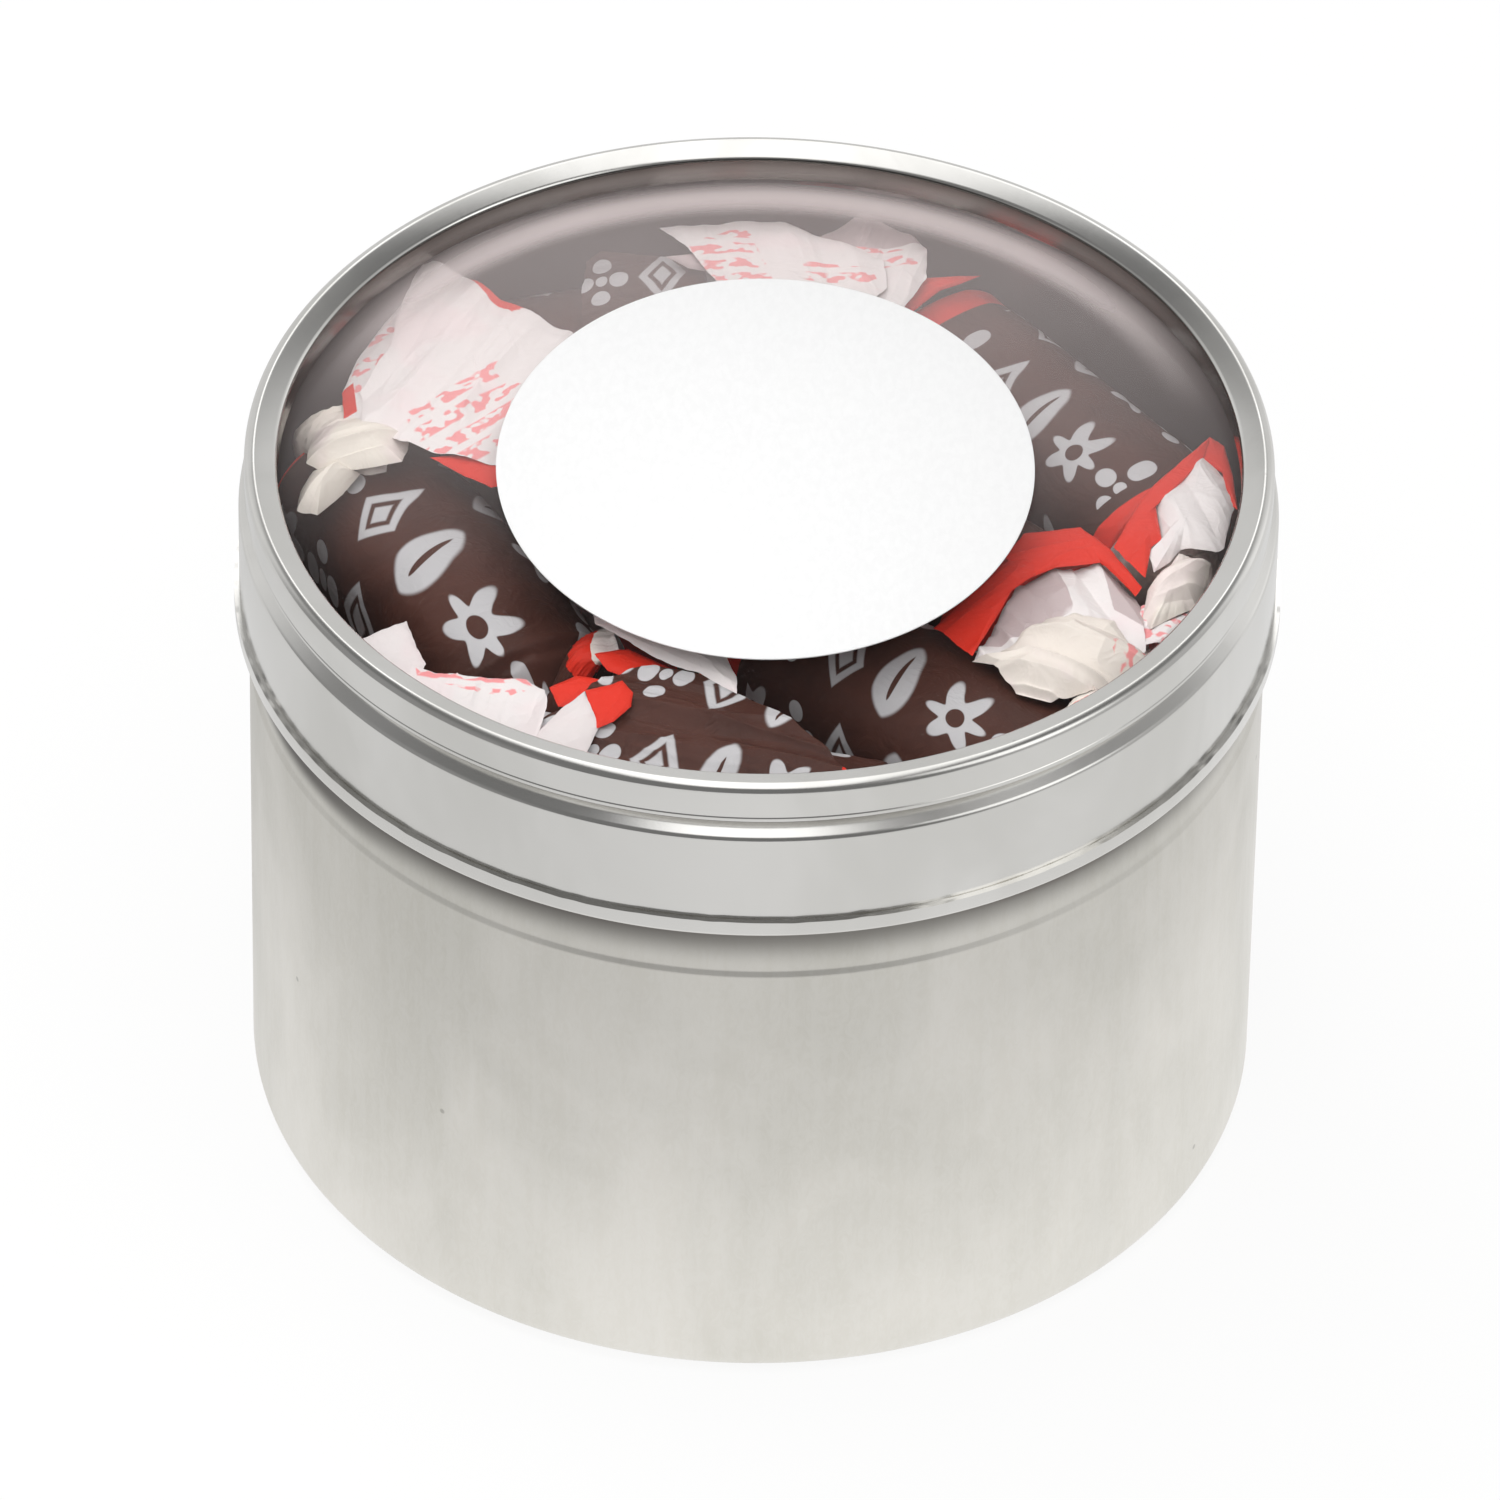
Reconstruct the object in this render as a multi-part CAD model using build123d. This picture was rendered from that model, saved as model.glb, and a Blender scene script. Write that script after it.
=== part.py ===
from build123d import *
import math
import os

# A round slip-lid tin with a clear window in its lid, filled with twist-wrapped candies.
# Millimetres, +Z up, origin at the centre of the base. The lid lifts off along +Z.

# Tin
body_across = 77.8        # outside of the drawn body
body_height = 54.9        # base to the top of the rolled mouth
sheet = 0.25              # tinplate, drawn and rolled
foot_radius = 2.0         # outside bend from the wall to the base
foot_width = 1.6          # flat ring that the tin stands on
panel_rise = 0.6          # base panel stands clear of the table by this
panel_slope = 1.0         # run of the bend up to the base panel
neck_step = 0.2           # the neck under the lid is drawn in by this
neck_depth = 14.0         # mouth to the step on the wall
neck_slope = 0.5          # height of the step
curl_stand = 0.55         # the rolled mouth stands out from the neck
curl_height = 0.9
curl_bend = 0.35

# Lid
lid_clearance = 0.1       # radial slip fit on the rolled mouth
seat_gap = 0.15           # ledge above the rolled mouth
skirt_depth = 10.0        # ledge to the lid's lower edge
hem_height = 1.2          # lower edge, folded up outside
hem_gap = 0.15            # open slot in the fold
hem_bend = 0.2
shoulder_bend = 0.7       # outside bend from the skirt to the ledge
ledge_fall = 0.15         # the ledge slopes down outwards
bead_depth = 0.8          # rolled groove that holds the window
bead_height = 0.4
ring_step = 0.45          # upper ring is narrower than the skirt by this
rim_width = 2.5           # rolled rim round the window
rim_height = 2.6          # rim above the window
crown_drop_in = 0.45      # crown down to the top of the inner wall
crown_drop_out = 0.85     # crown down to the top of the outer wall
window_thickness = 0.5
window_clearance = 0.2    # radial, in the upper ring

# Label
label_width = 41.0
label_length = 45.5
label_thickness = 0.15
label_shift = 1.5         # towards the back

# Candies
candy_width = 14.0
candy_height = 12.4
candy_length = 28.6       # full-width stretch of the wrapped roll
shoulder_length = 3.5     # from there to the twisted neck
neck_radius = 1.9
tail_length = 8.0         # flared paper past the neck, where there is room
tail_radius = 3.6
paper_wall = 0.2
side_gap = 0.3            # between candies, and from them to the tin
layer_gap = 0.3

TOP_SIDES = 8             # facets of a candy that shows
LOW_SIDES = 6             # facets of a candy below
LAYER_TURN = 67           # degrees from one layer to the next
SHAKES = 80               # rounds of settling the candies of a layer

# Each candy of the top layer: centre as shares of the tin's bore, turn in degrees, tails as shares of the tail length
candy_shares = (
    (0.572, 0.458, -51, 0, 0.25),
    (-0.627, -0.031, -60, 0, 0),
    (-0.195, 0.710, 15, 0, 0),
    (-0.138, -0.718, -11, 0.4, 0.2),
    (0.294, -0.380, -40, 1, 0),
    (0.307, 0.104, -41, 0, 1),
)

# Radii and heights that follow
body_radius = body_across / 2
neck_radius_out = body_radius - neck_step
curl_radius = neck_radius_out + curl_stand
bore_radius = neck_radius_out - sheet
step_top = body_height - neck_depth
floor_top = panel_rise + sheet

skirt_inside = curl_radius + lid_clearance
skirt_radius = skirt_inside + sheet
hem_radius = skirt_radius + hem_gap + sheet
ring_radius = skirt_radius - ring_step
bead_radius = ring_radius - bead_depth
ledge_inside = body_height + seat_gap
ledge_top = ledge_inside + sheet
bead_low = ledge_top + ledge_fall
bead_top = bead_low + bead_height
window_low = bead_top + sheet
window_top = window_low + window_thickness
crown_top = window_top + rim_height
rim_inside = ring_radius - rim_width
lid_low = ledge_top - skirt_depth
hem_top = lid_low + hem_height
window_radius = ring_radius - sheet - window_clearance


def bend(before, corner, after, radius, cuts):
    """Points of a section along its rounded corner, which is made of straight cuts."""
    here = Vector(*corner)
    back, on = (Vector(*before) - here).normalized(), (Vector(*after) - here).normalized()
    half = math.radians(back.get_angle(on)) / 2
    middle = here + (back + on).normalized() * (radius / math.sin(half))
    arm = here + back * (radius / math.tan(half)) - middle
    turn = math.copysign(180 - math.degrees(2 * half), back.cross(on).Z)
    return [middle + arm.rotate(Axis.Z, -turn * k / cuts) for k in range(cuts + 1)]


def turned(corners):
    """Solid of revolution about Z from one side of its section, as (radius, height) corners, each of
    them with its bend radius and the cuts of that bend where it is rounded."""
    points = []
    for index, (radius, height, *bent) in enumerate(corners):
        if bent:
            before, after = corners[index - 1][:2], corners[(index + 1) % len(corners)][:2]
            points += bend(before, (radius, height), after, *bent)
        else:
            points.append(Vector(radius, height))
    section = make_face(Polyline(*[(point.X, 0, point.Y) for point in points], close=True))
    return revolve(section, Axis.Z).solid()


def tin_body():
    """Drawn cup with a raised base panel, a step to its neck and a rolled mouth."""
    wall_inside = body_radius - sheet
    foot_inside = body_radius - foot_radius - foot_width
    panel_radius = foot_inside - panel_slope
    curl_low = body_height - curl_height
    return turned([
        (0, panel_rise),
        (panel_radius, panel_rise),
        (foot_inside, 0),
        (body_radius, 0, foot_radius, 2),
        (body_radius, step_top - neck_slope),
        (neck_radius_out, step_top),
        (neck_radius_out, curl_low),
        (curl_radius, curl_low + curl_bend),
        (curl_radius, body_height, curl_bend, 1),
        (bore_radius, body_height),
        (bore_radius, step_top),
        (wall_inside, step_top - neck_slope),
        (wall_inside, sheet, foot_radius - sheet, 1),
        (foot_inside, sheet),
        (panel_radius, floor_top),
        (0, floor_top),
    ])


def crown(inside, outside, drop_in, drop_out, top, cuts):
    """Points along the arc over the rim, from its inner wall to its outer wall."""
    arc = ThreePointArc((inside, top - drop_in), ((inside + outside) / 2, top), (outside, top - drop_out))
    return [(point.X, point.Y) for point in (arc.position_at(k / cuts) for k in range(cuts + 1))]


def lid_ring():
    """Hemmed skirt, shoulder, window groove and rolled rim, all one sheet."""
    inner_face = rim_inside + sheet
    outer_face = ring_radius - sheet
    slot = skirt_radius + hem_gap
    drops = (crown_drop_in, crown_drop_out)
    over = crown(rim_inside, ring_radius, *drops, crown_top, 4)
    under = crown(inner_face, outer_face, *drops, crown_top - sheet, 2)
    return turned([
        *over,
        (ring_radius, bead_top),
        (bead_radius, bead_top),
        (bead_radius, bead_low),
        (skirt_radius - shoulder_bend, ledge_top),
        (skirt_radius, ledge_top - shoulder_bend),
        (skirt_radius, lid_low + sheet),
        (slot, lid_low + sheet),
        (slot, hem_top),
        (hem_radius, hem_top),
        (hem_radius, lid_low, hem_bend, 1),
        (skirt_inside, lid_low),
        (skirt_inside, ledge_inside - shoulder_bend + sheet),
        (skirt_inside - shoulder_bend + sheet, ledge_inside),
        (bead_radius - sheet, bead_low - sheet),
        (bead_radius - sheet, window_low),
        (outer_face, window_low),
        *reversed(under),
        (inner_face, window_top),
        (rim_inside, window_top),
    ])


def window_pane():
    """Clear disc held between the groove and the rim's inner hem."""
    disc = extrude(Circle(window_radius), window_thickness)
    return Pos(0, 0, window_low) * disc.solid()


def oval_label():
    """Blank paper oval stuck on the window."""
    oval = extrude(Ellipse(label_width / 2, label_length / 2), label_thickness)
    return Pos(0, label_shift, window_top) * oval.solid()


def corners_of(place, points):
    """Plan points of a candy, given along and across its length, where it lies in the tin."""
    x, y, turn = place
    c, s = math.cos(math.radians(turn)), math.sin(math.radians(turn))
    return [(x + a * c - b * s, y + a * s + b * c) for a, b in points]


def body_outline(place):
    """Plan outline of a wrapped roll and its two shoulders."""
    half, reach, wide = candy_length / 2, candy_length / 2 + shoulder_length, candy_width / 2
    points = [(half, -wide), (reach, -neck_radius), (reach, neck_radius), (half, wide)]
    return corners_of(place, points + [(-a, -b) for a, b in points])


def tail_outline(place, side, length):
    """Plan outline of the flared paper at one end of a candy."""
    start = candy_length / 2 + shoulder_length
    points = [(start, neck_radius), (start + length, tail_radius)]
    points += [(a, -b) for a, b in reversed(points)]
    return corners_of(place, [(side * a, b) for a, b in points])


def push(one, other, gap):
    """Least move of a convex outline that leaves the gap between it and another one."""
    moves = []
    for shape in (one, other):
        for (x0, y0), (x1, y1) in zip(shape, shape[1:] + shape[:1]):
            size = math.hypot(x1 - x0, y1 - y0)
            nx, ny = (y1 - y0) / size, (x0 - x1) / size
            a = [x * nx + y * ny for x, y in one]
            b = [x * nx + y * ny for x, y in other]
            moves += [(max(b) - min(a) + gap, nx, ny), (max(a) - min(b) + gap, -nx, -ny)]
    size, nx, ny = min(moves)
    return (size * nx, size * ny) if size > 0 else (0, 0)


def pull(outline, gap):
    """Move of an outline that leaves the gap between it and the tin's wall."""
    x, y = max(outline, key=lambda point: math.hypot(*point))
    over = 1 - (bore_radius - gap) / math.hypot(x, y)
    return (-over * x, -over * y) if over > 0 else (0, 0)


def has_room(outline, others, gap):
    """Whether an outline keeps the gap to the tin's wall and to each other outline."""
    return not any(pull(outline, gap)) and not any(any(push(outline, other, gap)) for other in others)


def settled(places):
    """Places of candies, shaken until they keep the side gap or the rounds run out."""
    places = list(places)
    for _ in range(SHAKES):
        for i, (x, y, turn) in enumerate(places):
            dx, dy = pull(body_outline(places[i]), side_gap)
            places[i] = (x + dx, y + dy, turn)
            for j, (u, v, other_turn) in enumerate(places[:i]):
                x, y, turn = places[i]
                dx, dy = push(body_outline(places[i]), body_outline(places[j]), side_gap)
                places[i] = (x + dx / 2, y + dy / 2, turn)
                places[j] = (u - dx / 2, v - dy / 2, other_turn)
    return places


def lay_out():
    """The candies of one layer that have room, the first of the table first: place, and its two tails."""
    rows = list(candy_shares)
    gap = side_gap / 2
    while True:
        places = settled((x * bore_radius, y * bore_radius, turn) for x, y, turn, *_ in rows)
        outlines = [body_outline(place) for place in places]
        if all(has_room(one, outlines[:k], gap) for k, one in enumerate(outlines)):
            break
        rows.pop()
    layer = []
    for index, (place, row) in enumerate(zip(places, rows)):
        tails = []
        for side, share in zip((-1, 1), row[3:]):
            tail = tail_outline(place, side, share * tail_length)
            fits = share and has_room(tail, outlines[:index] + outlines[index + 1:], gap)
            if fits:
                outlines.append(tail)
            tails.append(share * tail_length if fits else 0)
        layer.append((place, tails))
    return layer


def ring_of(sides, x, wide, high):
    """Corners of a polygon across a candy at x, flat at top and bottom, with half the width and height given."""
    turns = [math.pi * (1 / 2 + (2 * k + 1) / sides) for k in range(sides)]
    grow_wide = 1 / max(math.cos(t) for t in turns)
    grow_high = 1 / max(math.sin(t) for t in turns)
    return [(x, grow_wide * wide * math.cos(t), grow_high * high * math.sin(t)) for t in turns]


def skin(rings):
    """Solid with flat sides between rings of corners, and flat ends."""
    quads = [rings[0], rings[-1]]
    for low, high in zip(rings, rings[1:]):
        quads += zip(low, low[1:] + low[:1], high[1:] + high[:1], high)
    return Solid(Shell([make_face(Polyline(*quad, close=True)).face() for quad in quads]))


def candy(sides, tails):
    """Wrapper and roll of one candy along X, centred on the origin."""
    half, reach = candy_length / 2, candy_length / 2 + shoulder_length
    flatten = candy_height / candy_width
    stations = [(-reach, neck_radius), (-half, candy_width / 2), (half, candy_width / 2), (reach, neck_radius)]
    if tails[0]:
        stations.insert(0, (-reach - tails[0], tail_radius))
    if tails[1]:
        stations.append((reach + tails[1], tail_radius))
    wide, high = candy_width / 2 - paper_wall, candy_height / 2 - paper_wall
    roll = skin([ring_of(sides, x, wide, high) for x in (-half, half)])
    wrapper = skin([ring_of(sides, x, size, flatten * size) for x, size in stations]) - roll
    return wrapper.solid(), roll


def candies():
    """Layers of candies from the top one down, as (wrapper, roll) pairs."""
    pitch = candy_height + layer_gap
    lowest = floor_top + layer_gap + candy_height / 2
    layers = int((body_height - lowest + candy_height / 2) / pitch)
    pairs = []
    for down in range(layers):
        height = lowest + (layers - 1 - down) * pitch
        sides = LOW_SIDES if down else TOP_SIDES
        for (x, y, turn), tails in lay_out():
            spin = Rot(0, 0, down * LAYER_TURN) * Pos(x, y, height) * Rot(0, 0, turn)
            pairs.append(tuple(spin * solid for solid in candy(sides, tails)))
    return pairs


os.makedirs("parts", exist_ok=True)
nodes = {
    "tin_body": tin_body(),
    "lid_ring": lid_ring(),
    "window_pane": window_pane(),
    "oval_label": oval_label(),
}
for number, (wrapper, roll) in enumerate(candies(), start=1):
    nodes[f"candy_wrapper_{number:02d}"] = wrapper
    nodes[f"candy_roll_{number:02d}"] = roll
for name, solid in nodes.items():
    export_step(solid, f"parts/{name}.step")
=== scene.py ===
"""A round window lid tin filled with twist-wrapped candies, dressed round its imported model."""
import math

import bmesh
import bpy
import numpy as np
from bpy.props import FloatProperty, FloatVectorProperty, IntProperty, PointerProperty
from mathutils import Matrix, Vector


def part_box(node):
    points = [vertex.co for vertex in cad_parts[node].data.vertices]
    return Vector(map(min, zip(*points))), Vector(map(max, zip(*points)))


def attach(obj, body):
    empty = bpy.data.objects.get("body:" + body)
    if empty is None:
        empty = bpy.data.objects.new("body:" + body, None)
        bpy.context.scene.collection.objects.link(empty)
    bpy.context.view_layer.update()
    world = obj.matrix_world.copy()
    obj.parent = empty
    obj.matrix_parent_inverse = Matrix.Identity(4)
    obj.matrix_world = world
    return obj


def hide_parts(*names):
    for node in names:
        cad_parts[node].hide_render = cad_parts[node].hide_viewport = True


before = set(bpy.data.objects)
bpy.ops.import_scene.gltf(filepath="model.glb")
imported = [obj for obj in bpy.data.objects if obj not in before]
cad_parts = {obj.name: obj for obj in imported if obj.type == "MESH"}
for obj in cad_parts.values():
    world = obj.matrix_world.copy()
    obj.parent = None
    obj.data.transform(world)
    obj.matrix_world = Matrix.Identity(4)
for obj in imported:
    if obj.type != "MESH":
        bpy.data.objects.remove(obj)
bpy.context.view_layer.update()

bl_info = {
    "name": "Window Lid Tin",
    "version": (1, 0, 0),
    "blender": (4, 5, 0),
    "location": "View3D > Sidebar > Window Tin",
    "description": "Dresses the model of a round window lid tin and the wrapped candies in it",
    "category": "Object",
}

MM = 0.001

# Print of the wrappers, in millimetres from the middle of the print: end of the motifs, of the brown and of the red
MOTIFS_END, BROWN_END, RED_END = 10.9, 12, 16
# Millimetres of print to one unit of the UV map, and the print's length round a wrapper
UV_UNIT, GIRTH = 100, 43.0
# The first candies of the model lie on top and show
CANDIES_SHOWN = 6
# Numbers of the directions that a painted shade on the tinplate can follow
ACROSS, UP, AWAY = 0, 2, 3


# Sizes and colours that a user would change

def length(name, description, millimetres):
    """A length property with its default in millimetres."""
    return FloatProperty(name=name, description=description, default=millimetres * MM, min=0, precision=5,
                         unit="LENGTH")


def angle(name, description, degrees):
    """An angle property with its default in degrees."""
    return FloatProperty(name=name, description=description, default=math.radians(degrees), subtype="ANGLE")


def colour(name, description, value):
    """A colour property."""
    return FloatVectorProperty(name=name, description=description, default=value, size=3, min=0, max=1,
                               subtype="COLOR")


class TinSizes(bpy.types.PropertyGroup):
    """Sizes of the drawn body."""
    sheet: length("Sheet", "Thickness of the tinplate", 0.25)
    foot_radius: length("Foot bend", "Outside bend from the wall to the base", 2.0)
    foot_width: length("Foot width", "Flat ring that the tin stands on", 1.6)
    panel_rise: length("Panel rise", "Height of the base panel above the table", 0.6)
    panel_slope: length("Panel slope", "Run of the bend up to the base panel", 1.0)
    neck_step: length("Neck step", "How far the neck under the lid is drawn in", 0.2)
    neck_depth: length("Neck depth", "From the mouth to the step on the wall", 14.0)
    neck_slope: length("Neck slope", "Height of the step", 0.5)
    neck_taper: length("Neck taper", "How much the neck narrows under the lid", 0.22)
    curl_stand: length("Curl stand", "How far the rolled mouth stands out", 0.55)
    curl_height: length("Curl height", "Height of the rolled mouth", 0.9)
    curl_bend: length("Curl bend", "Rounding of the rolled mouth", 0.35)
    curl_room: length("Curl room", "Room between the mouth and the top of the model", 0.35)
    waviness: length("Waviness", "How far the drawn wall strays from a true circle", 0.05)
    segments: IntProperty(name="Segments", description="Steps round the body", default=360, min=24)


class LidSizes(bpy.types.PropertyGroup):
    """Sizes of the stepped lid."""
    skirt_depth: length("Skirt depth", "From the ledge to the lower edge", 10.0)
    hem_height: length("Hem height", "Height of the folded lower edge", 1.48)
    hem_gap: length("Hem gap", "Open slot in the fold", 0.15)
    hem_bend: length("Hem bend", "Rounding of the fold", 0.38)
    hem_slot: length("Hem slot", "Depth of the open slot above the fold", 0.07)
    hem_burr: length("Hem burr", "How ragged the cut edge of the fold is", 0.07)
    shoulder_bend: length("Shoulder bend", "Rounding from the skirt to the ledge", 0.55)
    ledge_fall: length("Ledge fall", "How much the ledge slopes", 0.80)
    ledge_back: length("Ledge back", "How far the ledge's underside falls outside the mouth", 0.55)
    bead_depth: length("Groove depth", "Depth of the groove that holds the window", 0.8)
    bead_height: length("Groove height", "Height of that groove", 0.50)
    ring_step: length("Ring step", "How much narrower the upper ring is than the skirt", 0.45)
    lip_height: length("Lip height", "Height of the lip at the foot of the upper ring", 0.42)
    lip_bend: length("Lip bend", "Rounding under that lip", 0.22)
    lip_line: length("Lip line", "Depth and height of the fine line above that lip", 0.07)
    rim_width: length("Rim width", "Width of the rolled rim", 2.5)
    crown_slope: angle("Crown slope", "Fall of the rim towards the window", 16)
    crown_bend: length("Crown bend", "Rounding of the rim's outer edge", 0.72)
    rim_bend: length("Rim bend", "Rounding of the rim's inner edge", 0.45)
    waviness: length("Waviness", "How far the lid strays from a true circle", 0.04)
    segments: IntProperty(name="Segments", description="Steps round the lid", default=720, min=24)


class CandySizes(bpy.types.PropertyGroup):
    """Sizes of the wrapped candies."""
    paper: length("Paper", "Room that the paper takes round the roll", 0.2)
    neck: length("Neck", "Half the width of the twisted neck", 1.8)
    crease: length("Crease", "Height of the creases in the paper", 0.32)
    around: IntProperty(name="Around", description="Steps round a wrapper that shows", default=168, min=24)
    along: IntProperty(name="Along", description="Steps along a wrapper that shows", default=260, min=24)


class Finishes(bpy.types.PropertyGroup):
    """Colours of the finishes, and of the painted shade and painted reflection laid over them."""
    body: colour("Body", "Satin tinplate of the body", (0.785, 0.762, 0.708))
    body_dull: colour("Dull body", "Cloudy patches on the body", (0.71, 0.692, 0.635))
    lid: colour("Lid", "Brighter tinplate of the lid", (0.87, 0.86, 0.835))
    lid_dull: colour("Dull lid", "Cloudy patches on the lid", (0.79, 0.78, 0.75))
    label: colour("Label", "Coated paper of the label", (0.80, 0.80, 0.80))
    brown: colour("Brown", "Printed brown of the wrappers", (0.050, 0.018, 0.0125))
    red: colour("Red", "Printed red of the wrappers", (0.68, 0.030, 0.014))
    pale: colour("Pale", "Motifs left open in the brown", (0.50, 0.49, 0.50))
    paper: colour("Paper", "Waxed white paper", (0.79, 0.745, 0.735))
    # Painted shade: the dark that the tinplate mirrors under the lid, inside the rim and at the hem, put into its
    # colour
    shade: colour("Shade", "Metal where it sees only the dark", (0.145, 0.135, 0.125))
    # Painted reflection: the brown of the candies, put into the colour of the body's inner metal
    bore: colour("Bore", "Inner metal, which mirrors the candies", (0.10, 0.064, 0.060))
    knot: colour("Knot", "Gathered paper, which looks creamier", (0.83, 0.77, 0.69))
    # Also the colour of the painted shade on whole sheets
    thin_and_shaded: colour("Thin", "Single paper that lets the dark show through", (0.52, 0.43, 0.43))
    toffee: colour("Toffee", "Chocolate toffee", (0.10, 0.045, 0.025))
    # Also the colour of a painted reflection on the window, thicker towards the back and at the rim
    haze_and_reflection: colour("Haze", "Haze on the clear window", (0.75, 0.66, 0.65))


class StageSettings(bpy.types.PropertyGroup):
    """Camera and lights."""
    elevation: angle("Elevation", "Camera height above level", 40.57)
    roll: angle("Roll", "Turn of the camera about its own axis", 0.96)
    distance: length("Distance", "Camera to the point it looks at", 1164.5)
    target: length("Target height", "Height of the point it looks at", 29.42)
    focal: FloatProperty(name="Focal length", description="Lens in millimetres on a 36 mm sensor", default=362.21)
    shift: FloatVectorProperty(name="Shift", description="Camera shift in picture widths", size=2,
                               default=(-0.00315, 0.0006))


# Mesh building

def put_mesh(name, points, faces, uv=None, sharp=40, **masks):
    """New mesh object from point and face arrays; doubles are merged, which closes seams and poles.

    Each mask becomes a point attribute of that name."""
    mesh = bpy.data.meshes.new(name)
    mesh.from_pydata(points.tolist(), [], faces.tolist())
    if uv is not None:
        layer = mesh.uv_layers.new(name="UVMap")
        layer.data.foreach_set("uv", uv[faces.ravel()].astype(np.float32).ravel())
    for label, values in masks.items():
        mesh.attributes.new(label, "FLOAT", "POINT").data.foreach_set("value", values.astype(np.float32))
    work = bmesh.new()
    work.from_mesh(mesh)
    bmesh.ops.remove_doubles(work, verts=work.verts, dist=0.0005 * MM)
    bmesh.ops.recalc_face_normals(work, faces=work.faces)
    work.to_mesh(mesh)
    work.free()
    mesh.shade_smooth()
    mesh.set_sharp_from_angle(angle=math.radians(sharp))
    obj = bpy.data.objects.new(name, mesh)
    bpy.context.scene.collection.objects.link(obj)
    return obj


def grid_faces(rows, columns):
    """Quads between the points of a grid, given row by row."""
    i, j = np.meshgrid(np.arange(rows - 1), np.arange(columns - 1), indexing="ij")
    a = (i * columns + j).ravel()
    return np.stack([a, a + 1, a + columns + 1, a + columns], axis=1)


def finish_piece(obj, material, body, slot, *nodes):
    """Gives a piece its material and its body, and hides the CAD nodes that it stands for; slot is not used."""
    obj.data.materials.clear()
    obj.data.materials.append(material)
    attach(obj, body)
    if nodes:
        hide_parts(*nodes)
    return obj


def rounded(corners, step=math.radians(9)):
    """Section points with its corners rounded.

    Each corner is (radius, height) or (radius, height, bend). A bend is the arc of that radius which
    touches both sides of the corner, in steps of at most the given angle."""
    points = []
    for index, (r, z, *bend) in enumerate(corners):
        here = np.array((r, z))
        if not bend:
            points.append(here)
            continue
        back = np.array(corners[index - 1][:2]) - here
        on = np.array(corners[(index + 1) % len(corners)][:2]) - here
        back, on = back / np.linalg.norm(back), on / np.linalg.norm(on)
        half = math.acos(np.clip(back @ on, -1, 1)) / 2
        middle = here + (back + on) / np.linalg.norm(back + on) * bend[0] / math.sin(half)
        arm = here + back * bend[0] / math.tan(half) - middle
        turn = math.copysign(math.pi - 2 * half, -(back[0] * on[1] - back[1] * on[0]))
        count = max(2, math.ceil(abs(turn) / step))
        for t in np.linspace(0, turn, count + 1):
            c, s = math.cos(t), math.sin(t)
            points.append(middle + np.array((c * arm[0] - s * arm[1], s * arm[0] + c * arm[1])))
    return np.array(points)


def turned(name, section, segments, stray=None, across=1.0, along=1.0, centre=(0.0, 0.0), sharp=40):
    """Surface (r cos t, r sin t, z) of a section's points (r, z) over a full turn t.

    stray(r, z, t) adds to r and z. across and along stretch the circle to an oval."""
    t = np.linspace(0, 2 * math.pi, segments + 1)[None, :]
    r = np.repeat(section[:, :1], segments + 1, axis=1)
    z = np.repeat(section[:, 1:], segments + 1, axis=1)
    if stray:
        dr, dz = stray(r, z, t)
        r, z = r + dr, z + dz
    points = np.stack([centre[0] + across * r * np.cos(t), centre[1] + along * r * np.sin(t), z], axis=2)
    points[:, -1] = points[:, 0]
    return put_mesh(name, points.reshape(-1, 3), grid_faces(len(section), segments + 1), sharp=sharp)


def wave(t, *parts):
    """Sum of amplitude sin(count t + phase) over the parts."""
    return sum(amplitude * np.sin(count * t + phase) for amplitude, count, phase in parts)


def value_noise(u, v, seed, wrap=None):
    """Smooth noise between -1 and 1: random values at whole u and v, blended in between.

    wrap is the count of cells after which the pattern repeats along v."""
    table = np.random.default_rng(seed).uniform(-1, 1, (97, wrap or 89))
    i, j = np.floor(u).astype(int), np.floor(v).astype(int)
    fu, fv = u - i, v - j
    fu, fv = fu * fu * (3 - 2 * fu), fv * fv * (3 - 2 * fv)
    def at(a, b):
        return table[a % table.shape[0], b % table.shape[1]]
    low = at(i, j) * (1 - fu) + at(i + 1, j) * fu
    high = at(i, j + 1) * (1 - fu) + at(i + 1, j + 1) * fu
    return low * (1 - fv) + high * fv


def creases(u, v, seed, wrap=None):
    """Sharp-crested folds between 0 and 1, where two layers of smooth noise pass through zero."""
    first = 1 - np.abs(value_noise(u, v, seed, wrap))
    second = 1 - np.abs(value_noise(2.1 * u + 5, 2 * v, seed + 1, wrap and 2 * wrap))
    return 0.65 * first ** 3 + 0.35 * second ** 3


# Shader helpers

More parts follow.
